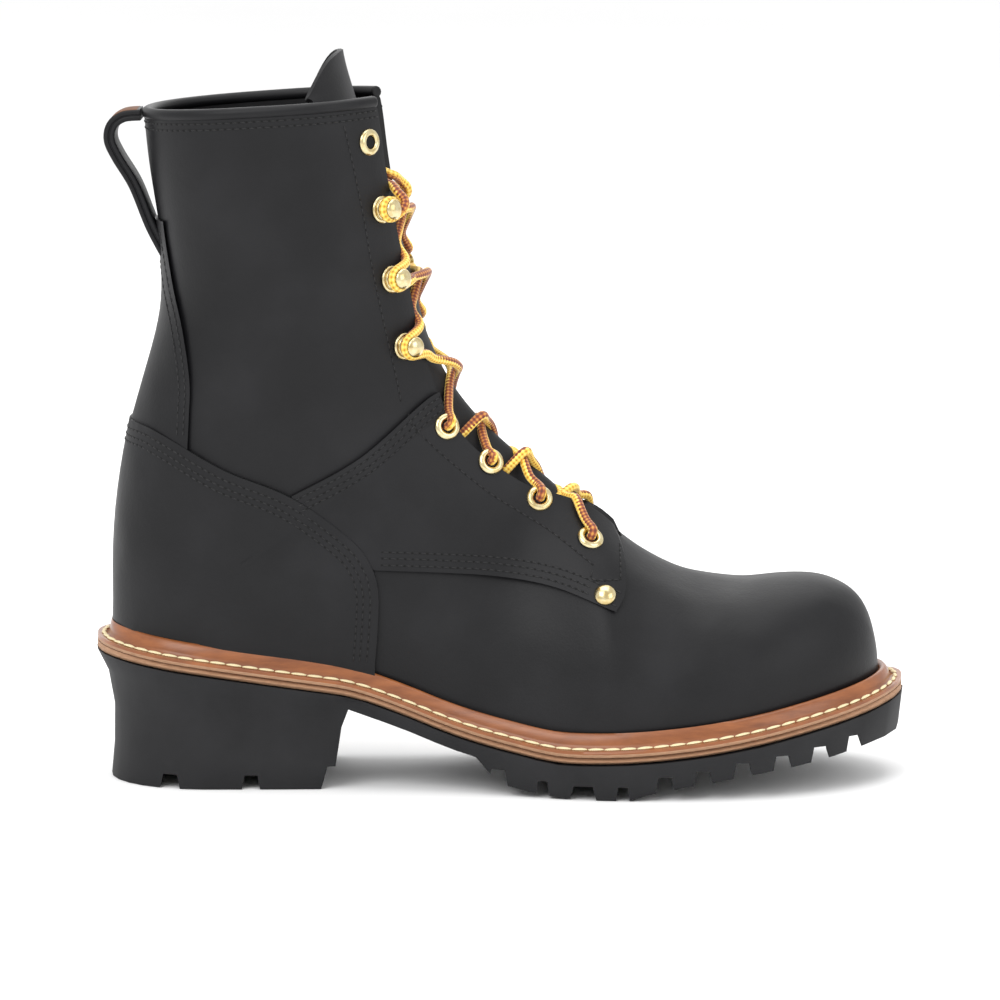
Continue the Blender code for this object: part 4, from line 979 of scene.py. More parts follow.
class Studio:
    """Pale floor, soft lights and the photograph's camera."""

    def camera(self) -> None:
        """Camera at the photograph's angle, nearly level and a little above."""
        bpy.ops.object.camera_add(location=(0.0, -1.985 + CENTRE_Y, 0.404))
        camera = bpy.context.object
        camera.name = "photo_camera"
        way = Vector((0.0, CENTRE_Y, 0.140)) - camera.location
        camera.rotation_euler = way.to_track_quat("-Z", "Y").to_euler()
        camera.data.lens = 188.7
        camera.data.sensor_width = 36.0
        camera.data.shift_x = -0.0005
        camera.data.shift_y = -0.089
        bpy.context.scene.camera = camera

    def floor(self) -> None:
        """Seamless flat pale floor."""
        bpy.ops.mesh.primitive_plane_add(size=60.0, location=(0.0, 0.0, -0.0002))
        floor = bpy.context.object
        floor.name = "studio_floor"
        floor.data.materials.append(shared_material(PlainFinish("pale_floor", "#FFFFFF", "#FCFCFC", 0.95, 900.0)))

    def lights(self) -> None:
        """Large soft boxes above, left and right, and a bright even surround."""
        for name, spot, size, power in (("key_softbox", (-0.9, -1.6, 1.7), 1.4, 22.0),
                                        ("fill_softbox", (1.5, -1.3, 0.9), 1.2, 8.0),
                                        ("top_softbox", (0.0, 0.1, 2.0), 1.6, 16.0),
                                        ("back_softbox", (0.2, 1.7, 1.2), 1.4, 8.0)):
            bpy.ops.object.light_add(type="AREA", location=spot)
            light = bpy.context.object
            light.name = name
            light.data.size = size
            light.data.energy = power
            light.rotation_euler = (Vector((0.0, 0.0, 0.12)) - Vector(spot)).to_track_quat("-Z", "Y").to_euler()
        world = bpy.data.worlds.new("white_surround")
        world.use_nodes = True
        world.node_tree.nodes["Background"].inputs[0].default_value = linear("#FFFFFF")
        world.node_tree.nodes["Background"].inputs[1].default_value = 1.0
        bpy.context.scene.world = world
        bpy.context.scene.view_settings.view_transform = "Standard"


# ---------------------------------------------------------------- fittings

def turned(name: str, profile: Sequence[tuple[float, float]], sides: int = 28) -> bpy.types.Object:
    """Turned piece: a circle extruded and scaled ring by ring, about +Z.

    Args:
        name: Name of the piece.
        profile: Radius and height of each ring in mm, from the axis or round a closed section.
        sides: Faces round the axis.

    Returns:
        A closed mesh at the origin.
    """
    deselect()
    radius, height = profile[0]
    bpy.ops.mesh.primitive_circle_add(vertices=sides, radius=max(radius, 0.01) * MM,
                                      location=(0.0, 0.0, height * MM))
    made = bpy.context.object
    settle(made)
    bpy.ops.object.mode_set(mode="EDIT")
    bpy.ops.mesh.select_all(action="SELECT")
    for wide, high in profile[1:]:
        bpy.ops.mesh.extrude_region_move(TRANSFORM_OT_translate={"value": (0.0, 0.0, (high - height) * MM)})
        ratio = max(wide, 0.01) / max(radius, 0.01)
        bpy.ops.transform.resize(value=(ratio, ratio, 1.0), center_override=(0.0, 0.0, high * MM))
        radius, height = wide, high
    bpy.ops.mesh.select_all(action="SELECT")
    bpy.ops.mesh.remove_doubles(threshold=0.000022)
    bpy.ops.mesh.normals_make_consistent(inside=False)
    bpy.ops.object.mode_set(mode="OBJECT")
    made.name = name
    return made


def standing(spot: Vector, normal: Vector, upward: Vector = Vector((0.0, 0.0, 1.0))) -> Matrix:
    """Matrix that stands a piece on a surface, its Y as near upward as it can."""
    z = normal.normalized()
    x = upward.cross(z).normalized()
    return Matrix.Translation(spot) @ Matrix((x, z.cross(x), z)).transposed().to_4x4()


def set_down(model: bpy.types.Object, name: str, matrix: Matrix) -> bpy.types.Object:
    """Copy of a model with its place baked into a mesh of its own."""
    made = copy_of(model, name)
    made.data.transform(matrix)
    return made


@dataclass
class Fittings:
    """Brass eyelets, speed hooks and rivets, at their nodes' places."""

    surface: Surface
    eyelet: tuple[tuple[float, float], ...] = (
        (2.45, -1.2), (2.45, 0.5), (2.62, 0.95), (3.0, 1.22), (3.5, 1.3), (4.15, 1.18), (4.75, 0.8),
        (5.1, 0.3), (5.15, 0.0), (3.0, -0.1), (2.8, -1.2), (2.45, -1.2))
    hook: tuple[tuple[float, float], ...] = (
        (0.0, 8.5), (1.1, 8.42), (2.1, 8.18), (3.0, 7.75), (3.6, 7.25), (3.9, 6.8), (3.85, 6.5), (3.4, 6.3),
        (2.1, 6.15), (1.75, 5.7), (1.65, 4.2), (1.75, 2.6), (2.1, 2.2), (3.5, 2.15), (4.0, 1.95), (4.15, 1.65),
        (4.05, 1.35), (3.95, 1.2), (4.6, 1.15), (5.05, 0.9), (5.22, 0.5), (5.1, 0.0), (0.0, 0.0))
    rivet: tuple[tuple[float, float], ...] = (
        (0.0, 2.25), (1.0, 2.2), (2.1, 1.95), (3.1, 1.45), (3.85, 0.75), (4.2, 0.2), (4.2, 0.0), (0.0, 0.0))
    spots: dict[str, tuple[Vector, Vector]] = field(default_factory=dict)

    def find(self) -> None:
        """Place and outward direction of each fitting."""
        rows = [(f"eyelet_{{}}_{i}", spot) for i, spot in enumerate(EYELETS, 1)]
        rows += [("eyelet_{}_top", TOP_EYELET)]
        rows += [(f"hook_{{}}_{i}", spot) for i, spot in enumerate(HOOKS, 1)]
        rows += [("rivet_{}", RIVET)]
        for pattern, spot in rows:
            for side in Side:
                x, z = place(*spot)
                hit = self.surface.from_side(x, z, side)
                near = [self.surface.from_side(x + dx, z + dz, side)
                        for dx, dz in ((0.003, 0.0), (-0.003, 0.0), (0.0, 0.003), (0.0, -0.003))]
                normal = sum((n[1] for n in near if n), hit[1].copy()).normalized()
                self.spots[pattern.format(side.word)] = (hit[0], normal)

    def build(self) -> None:
        """Set every fitting on the leather."""
        models = {"eyelet": turned("eyelet_model", self.eyelet), "hook": turned("hook_model", self.hook),
                  "rivet": turned("rivet_model", self.rivet)}
        holes = []
        # Near-black disc across each eyelet's opening: painted shade in the hole.
        hole = turned("hole_model", ((0.0, 0.35), (2.3, 0.3), (2.5, 0.0), (0.0, -0.1)), 20)
        for node, (spot, normal) in self.spots.items():
            kind = node.split("_")[0]
            dress(set_down(models[kind], f"{node}_brass", standing(spot, normal)), BRASS, (node,), 50.0)
            if kind == "eyelet":
                holes.append(set_down(hole, "hole", standing(spot, normal)))
        dress(join("eyelet_holes", holes), HOLE_SHADE)
        remove(hole, *models.values())


# ---------------------------------------------------------------- lace

@dataclass
class Lace:
    """Round braided lace: out of each eyelet, over the tongue, in under the next."""

    surface: Surface
    tongue: Surface
    spots: dict[str, tuple[Vector, Vector]]
    radius_mm: float = 1.75
    hook_neck_mm: float = 1.7
    rise_mm: tuple[tuple[float, float, float], ...] = (
        (-0.8, 5.2, 6.6), (2.0, 7.4, 6.0), (4.0, 7.4, 4.2), (5.6, 6.8, 2.6), (7.0, 7.8, 0.8),
        (8.0, 9.0, -1.4), (9.2, 8.0, -4.2), (12.0, 4.5, -5.4))
    top_turn: tuple[float, float] = (-50.0, 205.0)
    hook_mid_mm: float = 4.15
    step_mm: float = 1.1
    crossing: tuple[float, ...] = (0.58, 0.58, 0.57, 0.47, 0.91, 0.88)
    crest_mm: tuple[float, ...] = (6.0, 7.0, 7.5, 10.0, 9.8, 7.2)

    def spot(self, number: int, side: Side) -> tuple[Vector, Vector]:
        """Place and direction of fitting 1 to 7 of a side, lowest first."""
        kind = f"eyelet_{side.word}_{number}" if number <= 4 else f"hook_{side.word}_{number - 4}"
        return self.spots[kind]

    def middle(self, station: float) -> tuple[Vector, Vector, Vector]:
        """Middle of the throat at a station, its outward and its upward direction."""
        low = min(max(int(math.floor(station)), 1), 6)
        share = station - low
        ends = []
        for number in (low, low + 1):
            both = [self.spot(number, side)[0] for side in Side]
            ends.append(0.5 * (both[0] + both[1]))
        upward = ends[1] - ends[0]
        if share < 0.5 and low > 1:
            both = [self.spot(low - 1, side)[0] for side in Side]
            upward = upward.lerp(ends[0] - 0.5 * (both[0] + both[1]), 0.5 - share)
        upward.y = 0.0
        upward.normalize()
        return ends[0].lerp(ends[1], share), Vector((upward.z, 0.0, -upward.x)), upward

    def over(self, station: float, across: float, lift: float, surface: Surface) -> Vector:
        """Point above the leather at a station, a signed distance across and a lift, metres."""
        centre, outward, _ = self.middle(station)
        start = Vector((centre.x, CENTRE_Y + across, centre.z)) + outward * 0.09
        hit = surface.hit(start, -outward)
        if hit is None:
            return Vector((centre.x, CENTRE_Y + across, centre.z)) + outward * lift
        lean = (hit[1] + outward).normalized()
        return hit[0] + lean * lift

    def strand(self, number: int, side: Side) -> list[Vector]:
        """From a fitting of one side over the throat to the next one of the other side."""
        r = self.radius_mm * MM
        spot, normal = self.spot(number, side)
        far_spot, far_normal = self.spot(number + 1, Side(-side.value))
        begin = abs(spot.y - CENTRE_Y)
        end = abs(far_spot.y - CENTRE_Y)
        rise, crest = self.crossing[number - 1], self.crest_mm[number - 1] * MM
        over_top = 0.0 if side is Side.LATERAL else 1.9 * r
        points = []
        if number <= 4:
            _, outward, upward = self.middle(float(number))
            inward = (-normal * normal.dot(outward) + outward).normalized()
            points += [spot - normal * 0.0030, spot - normal * 0.0010, spot + normal * 0.0016,
                       spot + normal * 0.0032 + inward * 0.0018 + upward * 0.0006]
        to_hook = number + 1 > 4
        for t, climb in ((0.10, 0.24), (0.19, 0.50), (0.29, 0.74), (0.39, 0.92), (0.50, 1.00),
                         (0.60, 1.00), (0.70, 1.00), (0.79, 1.00), (0.88, 1.00)):
            if t > 0.8 and not to_hook:
                break
            share = rise * climb + (0.93 - rise) * max(0.0, 2.0 * t - 1.0)
            across = side.value * (begin + (-end - begin) * t)
            height = math.sin(math.pi * t)
            if not to_hook and t > 0.62:
                points.append(self.over(number + share, across, r * 1.05, self.tongue))
                continue
            point = self.over(number + share, across, r * 1.1, self.surface)
            centre, outward, _ = self.middle(number + share)
            wanted = crest * min(1.0, t / 0.42, (1.0 - t) / 0.42) ** 0.9
            short = max(0.0, wanted - (point - centre).dot(outward))
            points.append(point + outward * (short + over_top * height ** 2))
        if not to_hook:
            points.append(self.over(number + 0.98, -side.value * 0.93 * end, 0.6 * r, self.tongue))
            points.append(far_spot - far_normal * 0.0042)
        return points

    def around(self, number: int, side: Side) -> tuple[Vector, Vector]:
        """Directions within the leather at a fitting: up the throat, and away from it."""
        _, normal = self.spot(number, side)
        _, outward, upward = self.middle(float(number))
        up = (upward - normal * upward.dot(normal)).normalized()
        away = up.cross(normal)
        return up, away * (1.0 if away.dot(-outward) > 0.0 else -1.0)

    def wrap(self, number: int, side: Side, start_deg: float, stop_deg: float) -> list[Vector]:
        """Round a hook's neck; 0 degrees faces up the throat, 90 away from the throat."""
        spot, normal = self.spot(number, side)
        up, away = self.around(number, side)
        reach = (self.radius_mm + self.hook_neck_mm + 0.1) * MM
        made = []
        count = 9
        for i in range(count):
            turn = math.radians(start_deg + (stop_deg - start_deg) * i / (count - 1))
            made.append(spot + normal * self.hook_mid_mm * MM + (up * math.cos(turn) + away * math.sin(turn)) * reach)
        return made

    def smooth(self, points: Sequence[Vector]) -> list[Vector]:
        """Evenly spaced soft path through the points."""
        path = rounded_line(points, self.step_mm * MM)
        for _ in range(4):
            path = [path[0]] + [0.25 * path[i - 1] + 0.5 * path[i] + 0.25 * path[i + 1]
                                for i in range(1, len(path) - 1)] + [path[-1]]
        return path

    def route(self, side: Side) -> list[Vector]:
        """Whole run of one half of the lace, from the bar to the last hook."""
        points = [self.over(1.0, 0.0, self.radius_mm * MM * 0.9, self.tongue),
                  self.over(1.0, side.value * 0.006, self.radius_mm * MM * 0.9, self.tongue)]
        spot, normal = self.spot(1, side)
        points.append(spot - normal * 0.0042)
        here = side
        for number in range(1, 7):
            if number > 4:
                points += self.wrap(number, here, 165.0, 15.0)
            points += self.strand(number, here)
            here = Side(-here.value)
        points += self.wrap(7, here, *self.top_turn)
        return points

    def end_route(self, side: Side) -> list[Vector]:
        """From the last hook up over the facing's edge, and inside to the top eyelet."""
        spot, normal = self.spot(7, side)
        up, away = self.around(7, side)
        last, before = self.wrap(7, side, *self.top_turn)[-1], self.wrap(7, side, *self.top_turn)[-2]
        top, top_normal = self.spots[f"eyelet_{side.word}_top"]
        points = [last, last + (last - before) * 0.5]
        for upward_mm, inward_mm, lift_mm in self.rise_mm:
            points.append(spot + up * upward_mm * MM - away * inward_mm * MM + normal * lift_mm * MM)
        points += [top - top_normal * 0.0065 - up * 0.0050, top - top_normal * 0.0052]
        return self.smooth(points)

    def build(self) -> None:
        """Both halves of the lace and its two free ends."""
        halves = []
        for side in Side:
            halves.append(swept(f"lace_{side.word}", self.smooth(self.route(side)), self.radius_mm * MM))
        lace = join("lace_run", halves)
        dress(lace, BRAID, ("lace_bar", *(f"lace_cross_{i}" for i in range(1, 7))), 60.0)
        for side in Side:
            path = self.end_route(side)
            end = swept(f"lace_end_{side.word}_braid", path, self.radius_mm * MM)
            dress(end, BRAID, (f"lace_end_{side.word}",), 60.0)


# ---------------------------------------------------------------- thread and trim

def scattered(name: str, model: bpy.types.Object, places: Sequence[Matrix]) -> bpy.types.Object:
    """One mesh of many copies of a small model."""
    verts: list[Vector] = []
    faces: list[list[int]] = []
    shape = [v.co.copy() for v in model.data.vertices]
    polygons = [list(p.vertices) for p in model.data.polygons]
    for matrix in places:
        base = len(verts)
        verts.extend(matrix @ co for co in shape)
        faces.extend([base + i for i in polygon] for polygon in polygons)
    mesh = bpy.data.meshes.new(name)
    mesh.from_pydata(verts, [], faces)
    made = bpy.data.objects.new(name, mesh)
    bpy.context.scene.collection.objects.link(made)
    return made


def bead(name: str, length_mm: float, wide_mm: float, high_mm: float, sides: int = 6,
         rings: int = 4) -> bpy.types.Object:
    """Small rounded stitch along X, from a ball pulled long."""
    deselect()
    bpy.ops.mesh.primitive_uv_sphere_add(segments=sides, ring_count=rings, radius=1.0,
                                         rotation=(0.0, math.pi / 2.0, 0.0))
    made = bpy.context.object
    settle(made)
    made.scale = (0.5 * length_mm * MM, 0.5 * wide_mm * MM, 0.5 * high_mm * MM)
    settle(made)
    made.name = name
    return made


@dataclass
class Seam:
    """A run of points on a surface with their normals."""

    spots: list[Vector]
    normals: list[Vector]
    jump: float = 0.006

    @classmethod
    def from_side(cls, surface: Surface, line: Sequence[Sequence[float]], side: Side) -> "Seam":
        """Seam under a line of the side view, in metres."""
        hits = [surface.from_side(p[0], p[1], side) for p in line]
        kept = [hit for hit in hits if hit]
        return cls([h[0] for h in kept], [h[1] for h in kept])

    @classmethod
    def round_back(cls, surface: Surface, axis_x: float, start: float, stop: float,
                   height: Callable[[float], float], count: int = 160) -> "Seam":
        """Seam round an upright axis, at a height that follows x."""
        spots, normals = [], []
        for i in range(count + 1):
            turn = start + (stop - start) * i / count
            z = height(axis_x) - 0.008
            hit = None
            for _ in range(3):
                hit = surface.round_axis(axis_x, z, turn)
                if hit is None:
                    break
                z = height(hit[0].x)
            if hit:
                spots.append(hit[0])
                normals.append(hit[1])
        return cls(spots, normals)

    def joined(self, other: "Seam") -> "Seam":
        """This seam followed by another."""
        return Seam(self.spots + other.spots, self.normals + other.normals)

    def reversed(self) -> "Seam":
        """The same seam sewn the other way."""
        return Seam(self.spots[::-1], self.normals[::-1])

    def marks(self, pitch: float) -> list[tuple[Vector, Vector, Vector]]:
        """Place, run direction and normal at every stitch."""
        made = []
        runs = [(b - a).length for a, b in zip(self.spots, self.spots[1:])]
        total = sum(run for run in runs if run < self.jump)
        count = max(int(round(total / pitch)), 1)
        step, walked, goal = total / count, 0.0, 0.5 * total / count
        for i, (a, b) in enumerate(zip(self.spots, self.spots[1:])):
            length = runs[i]
            if length >= self.jump:
                continue
            while length > 1e-9 and walked + length >= goal and len(made) < count:
                share = (goal - walked) / length
                made.append((a.lerp(b, share), (b - a).normalized(),
                             self.normals[i].lerp(self.normals[i + 1], share).normalized()))
                goal += step
            walked += length
        return made


def laid(spot: Vector, run: Vector, normal: Vector, lift: float = 0.0, skew: float = 0.0) -> Matrix:
    """Matrix that lays a stitch along a seam.

    Args:
        spot: Place on the surface.
        run: Direction of the seam.
        normal: Outward direction.
        lift: Height above the surface, metres.
        skew: Turn within the surface, radians.
    """
    z = normal.normalized()
    x = (run - z * run.dot(z)).normalized()
    y = z.cross(x)
    x, y = x * math.cos(skew) + y * math.sin(skew), y * math.cos(skew) - x * math.sin(skew)
    return Matrix.Translation(spot + z * lift) @ Matrix((x, y, z)).transposed().to_4x4()


def collar_edge(x: float) -> float:
    """Height of the upper's top edge at a place along the boot, metres."""
    return 0.2525 + 0.0636 * (x + 0.1345)


@dataclass
class Stitching:
    """Black seams of the upper: each stitch sunk between two needle holes, drawn as near-black dimples of painted
    shade.
    """

    surface: Surface
    metal: Sequence[Vector]
    clear_mm: float = 5.2
    pitch_mm: float = 2.9
    length_mm: float = 2.1
    thread_mm: float = 0.62
    hole_mm: float = 1.0
    counter_rows_mm: tuple[float, ...] = (3.2, 5.9, 8.2)
    quarter_rows_mm: tuple[float, ...] = (2.0, 4.5, 6.8)
    stay_rows_mm: tuple[float, ...] = (1.9, 4.3)
    collar_rows_mm: tuple[float, ...] = (1.2, 3.5)
    seams: list[Seam] = field(default_factory=list)

    def counter(self) -> None:
        """Three rows inside the counter's edge, round the back."""
        edge = rounded_line(in_place(COUNTER_TOP))
        for inset in self.counter_rows_mm:
            line = shifted(edge, -inset * MM)
            flank = [p for p in line if p.x > -0.122 and p.y > 0.047]
            back = sorted((p.x, p.y) for p in line if p.x <= -0.115)

            def height(x: float, back: list[tuple[float, float]] = back) -> float:
                """Height of the row at the back."""
                for a, b in zip(back, back[1:]):
                    if a[0] <= x <= b[0]:
                        return a[1] + (b[1] - a[1]) * (x - a[0]) / max(b[0] - a[0], 1e-9)
                return back[0][1] if x < back[0][0] else back[-1][1]

            near = Seam.from_side(self.surface, flank[::-1], Side.LATERAL)
            far = Seam.from_side(self.surface, flank, Side.MEDIAL)
            axis = -0.100
            turns = [math.atan2(s.spots[i].y - CENTRE_Y, s.spots[i].x - axis) for s, i in ((near, -1), (far, 0))]
            turn_near = turns[0] if turns[0] > 0.0 else turns[0] + 2.0 * math.pi
            round_heel = Seam.round_back(self.surface, axis, turn_near - 0.03, turns[1] + 0.03, height)
            self.seams.append(near.joined(round_heel).joined(far))

    def flanks(self) -> None:
        """Rows of the quarters, facings and back stay, on both sides."""
        rows: list[Sequence[Vector]] = []
        top = rounded_line(in_place(QUARTER_TOP[:-1] + ((0.470, 0.592),)))
        foot = rounded_line(in_place(QUARTER_FOOT))
        for inset in self.quarter_rows_mm:
            rows.append([p for p in shifted(top, -inset * MM) if p.x > -0.079])
            rows.append([p for p in shifted(foot, -inset * MM) if p.x > -0.0455])
        stay = rounded_line(in_place(STAY_FRONT))
        for inset in self.stay_rows_mm:
            rows.append([p for p in shifted(stay, inset * MM) if 0.134 < p.y < 0.211])
        for corners in (((-35.2, 142.9), (-32.2, 136.8), (-22.0, 126.3), (-5.5, 112.4), (7.3, 104.1), (19.8, 96.6),
                         (34.8, 85.7)),
                        ((-58.3, 252.5), (-55.0, 237.3), (-50.9, 216.2), (-48.2, 199.5), (-43.7, 177.2),
                         (-39.5, 157.6), (-37.6, 147.5)),
                        ((34.8, 84.0), (35.0, 80.6), (45.0, 80.3)),
                        ((45.4, 92.0), (45.4, 80.5))):
            rows.append(rounded_line([(x * MM, z * MM) for x, z in corners]))
        for row in rows:
            for side in Side:
                self.seams.append(Seam.from_side(self.surface, row, side))

    def collar(self) -> None:
        """Two rows under the rolled rim."""
        for drop in self.collar_rows_mm:
            self.seams.append(Seam.round_back(self.surface, -0.090, math.radians(-27.0) % (2.0 * math.pi),
                                              math.radians(27.0), lambda x, drop=drop: collar_edge(x) - drop * MM, 300))

    def build(self) -> None:
        """Sew every seam."""
        self.counter()
        self.flanks()
        self.collar()
        thread, hole = [], []
        for seam in self.seams:
            if len(seam.spots) < 3:
                continue
            for spot, run, normal in seam.marks(self.pitch_mm * MM):
                if any((spot - metal).length < self.clear_mm * MM for metal in self.metal):
                    continue
                thread.append(laid(spot, run, normal, 0.05 * MM))
                # Near-black dimple at each needle hole: painted shade in the hole.
                hole.append(laid(spot + run * 0.5 * self.pitch_mm * MM, run, normal, 0.0))
        stitch = bead("stitch_model", self.length_mm, self.thread_mm, 0.55)
        prick = bead("needle_hole_model", self.hole_mm, self.hole_mm, 0.22, 6, 3)
        dress(scattered("upper_stitches", stitch, thread), BLACK_THREAD, (), 60.0)
        dress(scattered("needle_holes", prick, hole), HOLE_SHADE, (), 60.0)
        remove(stitch, prick)


@dataclass
class CollarRim:
    """Rolled rim of the collar, from facing to facing round the back."""

    skin: Surface
    radius_mm: float = 2.3

    def build(self) -> None:
        """Sweep the rim."""
        seam = Seam.round_back(self.skin, -0.090, math.radians(-25.0) % (2.0 * math.pi), math.radians(25.0),
                               lambda x: collar_edge(x) - 0.0008, 240)
        path = []
        for spot, normal in zip(seam.spots, seam.normals):
            flat = Vector((normal.x, normal.y, 0.0)).normalized()
            path.append(Vector((spot.x, spot.y, collar_edge(spot.x) + 0.9 * self.radius_mm * MM)) - flat * 1.1 * MM)
        path = even_steps(path, 0.0015)
        for _ in range(6):
            path = [path[0]] + [0.25 * path[i - 1] + 0.5 * path[i] + 0.25 * path[i + 1]
                                for i in range(1, len(path) - 1)] + [path[-1]]
        rim = swept("collar_rim", path, self.radius_mm * MM, 14, 1.0)
        take(rim)
        bevel = rim.modifiers.new("round_ends", "BEVEL")
        bevel.width = 0.9 * MM
        bevel.segments = 3
        bevel.limit_method = "ANGLE"
        bevel.angle_limit = math.radians(60.0)
        finish_modifiers(rim)
        dress(rim, LEATHER, ("collar_binding",), 60.0)


@dataclass
class PullLoop:
    """Loop of doubled strap behind the collar, its fold worn brown."""

    width_mm: float = 19.5
    ply_mm: float = 2.05
    route: tuple[tuple[float, float], ...] = (
        (0.0900, 0.796), (0.0725, 0.838), (0.0530, 0.898), (0.0325, 0.940), (0.0232, 0.966), (0.0265, 0.988),
        (0.0405, 1.001), (0.0610, 1.0035))

    def strap(self, name: str, path: Sequence[Vector], thick: float, width: float) -> bpy.types.Object:
        """Flat strap with rounded edges along a path in the middle plane."""
        corner = 0.38 * thick
        half_w, half_t = 0.5 * width, 0.5 * thick
        section = []
        for sx, sz, start in ((1, 1, 0), (-1, 1, 90), (-1, -1, 180), (1, -1, 270)):
            for k in range(4):
                turn = math.radians(start + 30.0 * k)
                section.append((sx * (half_w - corner) + corner * math.cos(turn),
                                sz * (half_t - corner) + corner * math.sin(turn)))
        bm = bmesh.new()
        rings = []
        for i, point in enumerate(path):
            ahead = (path[min(i + 1, len(path) - 1)] - path[max(i - 1, 0)]).normalized()
            out = Vector((-ahead.z, 0.0, ahead.x))
            rings.append([bm.verts.new(point + Vector((0.0, y, 0.0)) + out * t) for y, t in section])
        for first, second in zip(rings, rings[1:]):
            for k in range(len(section)):
                j = (k + 1) % len(section)
                bm.faces.new((first[k], first[j], second[j], second[k]))
        bm.faces.new(rings[0][::-1])
        bm.faces.new(rings[-1])
        bmesh.ops.recalc_face_normals(bm, faces=bm.faces)
        return from_bmesh(name, bm)

    def build(self) -> None:
        """Two plies with a core between them, and the worn fold."""
        line = rounded_line(in_place(self.route), 0.0012)
        centre = [Vector((p[0], CENTRE_Y, p[1])) for p in line]

        def beside(offset: float, first: int = 0, last: int | None = None) -> list[Vector]:
            """Path moved outward within the middle plane."""
            made = []
            for i, point in enumerate(centre):
                ahead = (centre[min(i + 1, len(centre) - 1)] - centre[max(i - 1, 0)]).normalized()
                made.append(point + Vector((-ahead.z, 0.0, ahead.x)) * offset)
            return made[first:last]

        step = 0.5 * (self.ply_mm + 0.12) * MM
        outer = self.strap("loop_outer_ply", beside(step), self.ply_mm * MM, self.width_mm * MM)
        inner = self.strap("loop_inner_ply", beside(-step), self.ply_mm * MM, self.width_mm * MM)
        core = self.strap("loop_core", beside(0.0), 0.6 * self.ply_mm * MM, (self.width_mm - 0.9) * MM)
        loop = join("pull_loop_leather", [outer, inner, core])
        dress(loop, LEATHER, ("pull_loop",), 50.0)
        count = len(centre)
        worn = self.strap("loop_worn_fold", beside(step + 0.42 * self.ply_mm * MM, int(0.84 * count), count - 1),
                          0.5 * MM, (self.width_mm - 1.0) * MM)
        dress(worn, RAW_EDGE, (), 50.0)


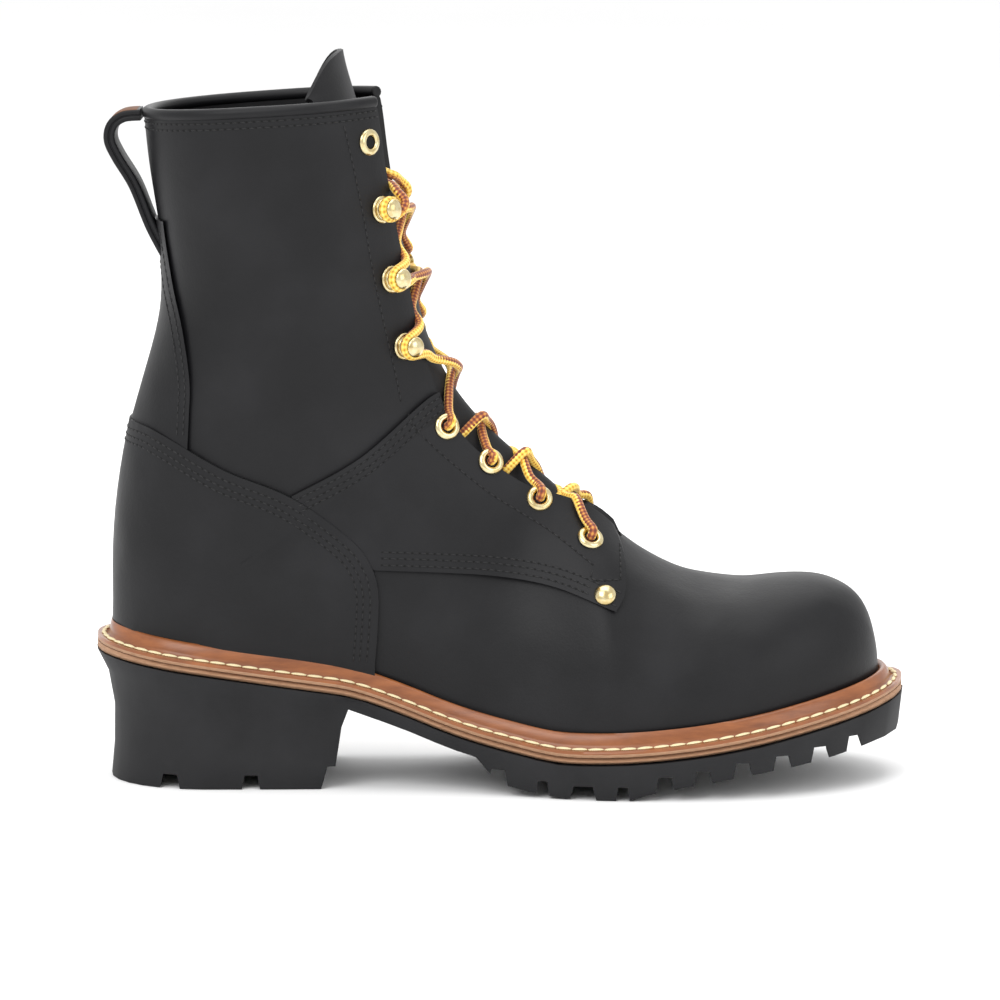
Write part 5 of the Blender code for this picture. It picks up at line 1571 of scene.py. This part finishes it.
@dataclass
class Welt:
    """Burnished welt and bead with a raw edge, and its lock stitches in cream thread."""

    stitch_mm: float = 6.2
    thick_mm: float = 1.75
    inset_mm: float = 2.4

    def smooth_solid(self, node: str, name: str) -> bpy.types.Object:
        """Copy of a ring-shaped solid with smooth curves and crisp long edges."""
        made = copy_of(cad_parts[node], name)
        bm = bmesh.new()
        bm.from_mesh(made.data)
        bmesh.ops.remove_doubles(bm, verts=bm.verts, dist=0.00002)
        bmesh.ops.join_triangles(bm, faces=bm.faces, angle_face_threshold=math.radians(12),
                                 angle_shape_threshold=math.radians(80))
        layer = bm.edges.layers.float.new("crease_edge")
        for edge in bm.edges:
            if len(edge.link_faces) == 2 and edge.calc_face_angle(0.0) > math.radians(38):
                edge[layer] = 0.92
        bm.to_mesh(made.data)
        bm.free()
        made.data.materials.clear()
        smooth = made.modifiers.new("soft", "SUBSURF")
        smooth.levels = smooth.render_levels = 1
        finish_modifiers(made)
        return made

    def outer_wall(self, solid: bpy.types.Object) -> tuple[set[int], list[Vector]]:
        """Faces of the outer edge, and the ordered points of its upper rim.

        Args:
            solid: Ring-shaped solid.

        Returns:
            Face numbers and rim points.
        """
        bm = bmesh.new()
        bm.from_mesh(solid.data)
        bm.normal_update()
        upright = [f for f in bm.faces if abs(f.normal.z) < 0.5]
        seed = max(upright, key=lambda f: f.calc_center_median().x)
        wall, queue = {seed}, [seed]
        while queue:
            face = queue.pop()
            for edge in face.edges:
                for other in edge.link_faces:
                    if other not in wall and abs(other.normal.z) < 0.6 \
                            and face.normal.angle(other.normal, 0.0) < math.radians(45):
                        wall.add(other)
                        queue.append(other)
        after: dict[bmesh.types.BMVert, list[bmesh.types.BMVert]] = {}
        for face in wall:
            for edge in face.edges:
                outside = [f for f in edge.link_faces if f not in wall]
                if outside and outside[0].normal.z > 0.2:
                    first, second = edge.verts
                    after.setdefault(first, []).append(second)
                    after.setdefault(second, []).append(first)
        start = max(after, key=lambda v: v.co.x)
        rim, here, last = [start.co.copy()], after[start][0], start
        while here is not start and len(rim) < len(after) + 2:
            rim.append(here.co.copy())
            ways = [v for v in after[here] if v is not last]
            last, here = here, (ways[0] if ways else start)
        numbers = {face.index for face in wall}
        bm.free()
        return numbers, rim

    def dye_edge(self, welt: bpy.types.Object, wall: set[int], rim: Sequence[Vector]) -> None:
        """Leave the lower row of the outer edge raw; the row along its upper border is dyed.

        Args:
            welt: Welt with its two materials.
            wall: Faces of its outer edge.
            rim: Points of the edge's upper border.
        """
        border = {tuple(round(c, 6) for c in point) for point in rim}
        held = [tuple(round(c, 6) for c in vert.co) in border for vert in welt.data.vertices]
        for number in wall:
            face = welt.data.polygons[number]
            face.material_index = 0 if any(held[v] for v in face.vertices) else 1

    def build(self) -> None:
        """Dress the welt and midsole, then sew them."""
        welt = self.smooth_solid("welt", "welt_leather")
        welt.data.materials.append(shared_material(WELT_LEATHER))
        welt.data.materials.append(shared_material(MIDSOLE_LEATHER))
        wall, rim = self.outer_wall(welt)
        self.dye_edge(welt, wall, rim)
        dress(welt, WELT_LEATHER, ("welt",), 45.0)
        midsole = self.smooth_solid("midsole", "midsole_leather")
        dress(midsole, MIDSOLE_LEATHER, ("midsole",), 45.0)
        self.sew(Surface([welt]), rim)

    def sew(self, top: Surface, rim: Sequence[Vector]) -> None:
        """Cream stitches along the shelf.

        Args:
            top: Surface of the welt.
            rim: Ordered points of its outer upper edge.
        """
        spots, normals = [], []
        line = even_steps([Vector((p.x, p.y, 0.0)) for p in [*rim, rim[0]]], 0.0015)
        area = sum(a.x * b.y - b.x * a.y for a, b in zip(line, line[1:]))
        turn = 1.0 if area > 0.0 else -1.0
        for i, point in enumerate(line[:-1]):
            ahead = (line[(i + 1) % (len(line) - 1)] - line[i - 1 if i else -2]).normalized()
            inward = Vector((-ahead.y, ahead.x, 0.0)) * turn
            spot = point + inward * self.inset_mm * MM
            hit = top.hit(Vector((spot.x, spot.y, 0.2)), Vector((0.0, 0.0, -1.0)))
            if hit:
                spots.append(hit[0])
                normals.append(hit[1])
        seam = Seam(spots, normals)
        stitch = bead("welt_stitch_model", self.stitch_mm * 0.98, self.thick_mm, 1.35, 6, 8)
        places = [laid(spot, run, normal, 0.28 * MM, 0.10)
                  for spot, run, normal in seam.marks(self.stitch_mm * MM)]
        dress(scattered("welt_stitches", stitch, places), CREAM_THREAD, (), 60.0)
        remove(stitch)


def main() -> None:
    """Build the boot's looks, one sub-assembly after another."""
    logging.basicConfig(level=logging.INFO, format="%(name)s: %(message)s")
    studio = Studio()
    studio.camera()
    upper = Upper()
    upper.build()
    overlays = Overlays(upper.skin)
    overlays.build()
    surface = Surface([upper.skin, upper.tongue_skin, *overlays.made])
    tongue = Surface([upper.tongue_skin])
    fittings = Fittings(surface)
    fittings.find()
    fittings.build()
    Lace(surface, tongue, fittings.spots).build()
    Stitching(Surface([upper.skin, *overlays.made]), [held[0] for held in fittings.spots.values()]).build()
    CollarRim(Surface([upper.skin])).build()
    PullLoop().build()
    overlays.finish()
    upper.finish()
    Sole().build()
    Welt().build()
    studio.floor()
    studio.lights()


if __name__ == "__main__":
    main()
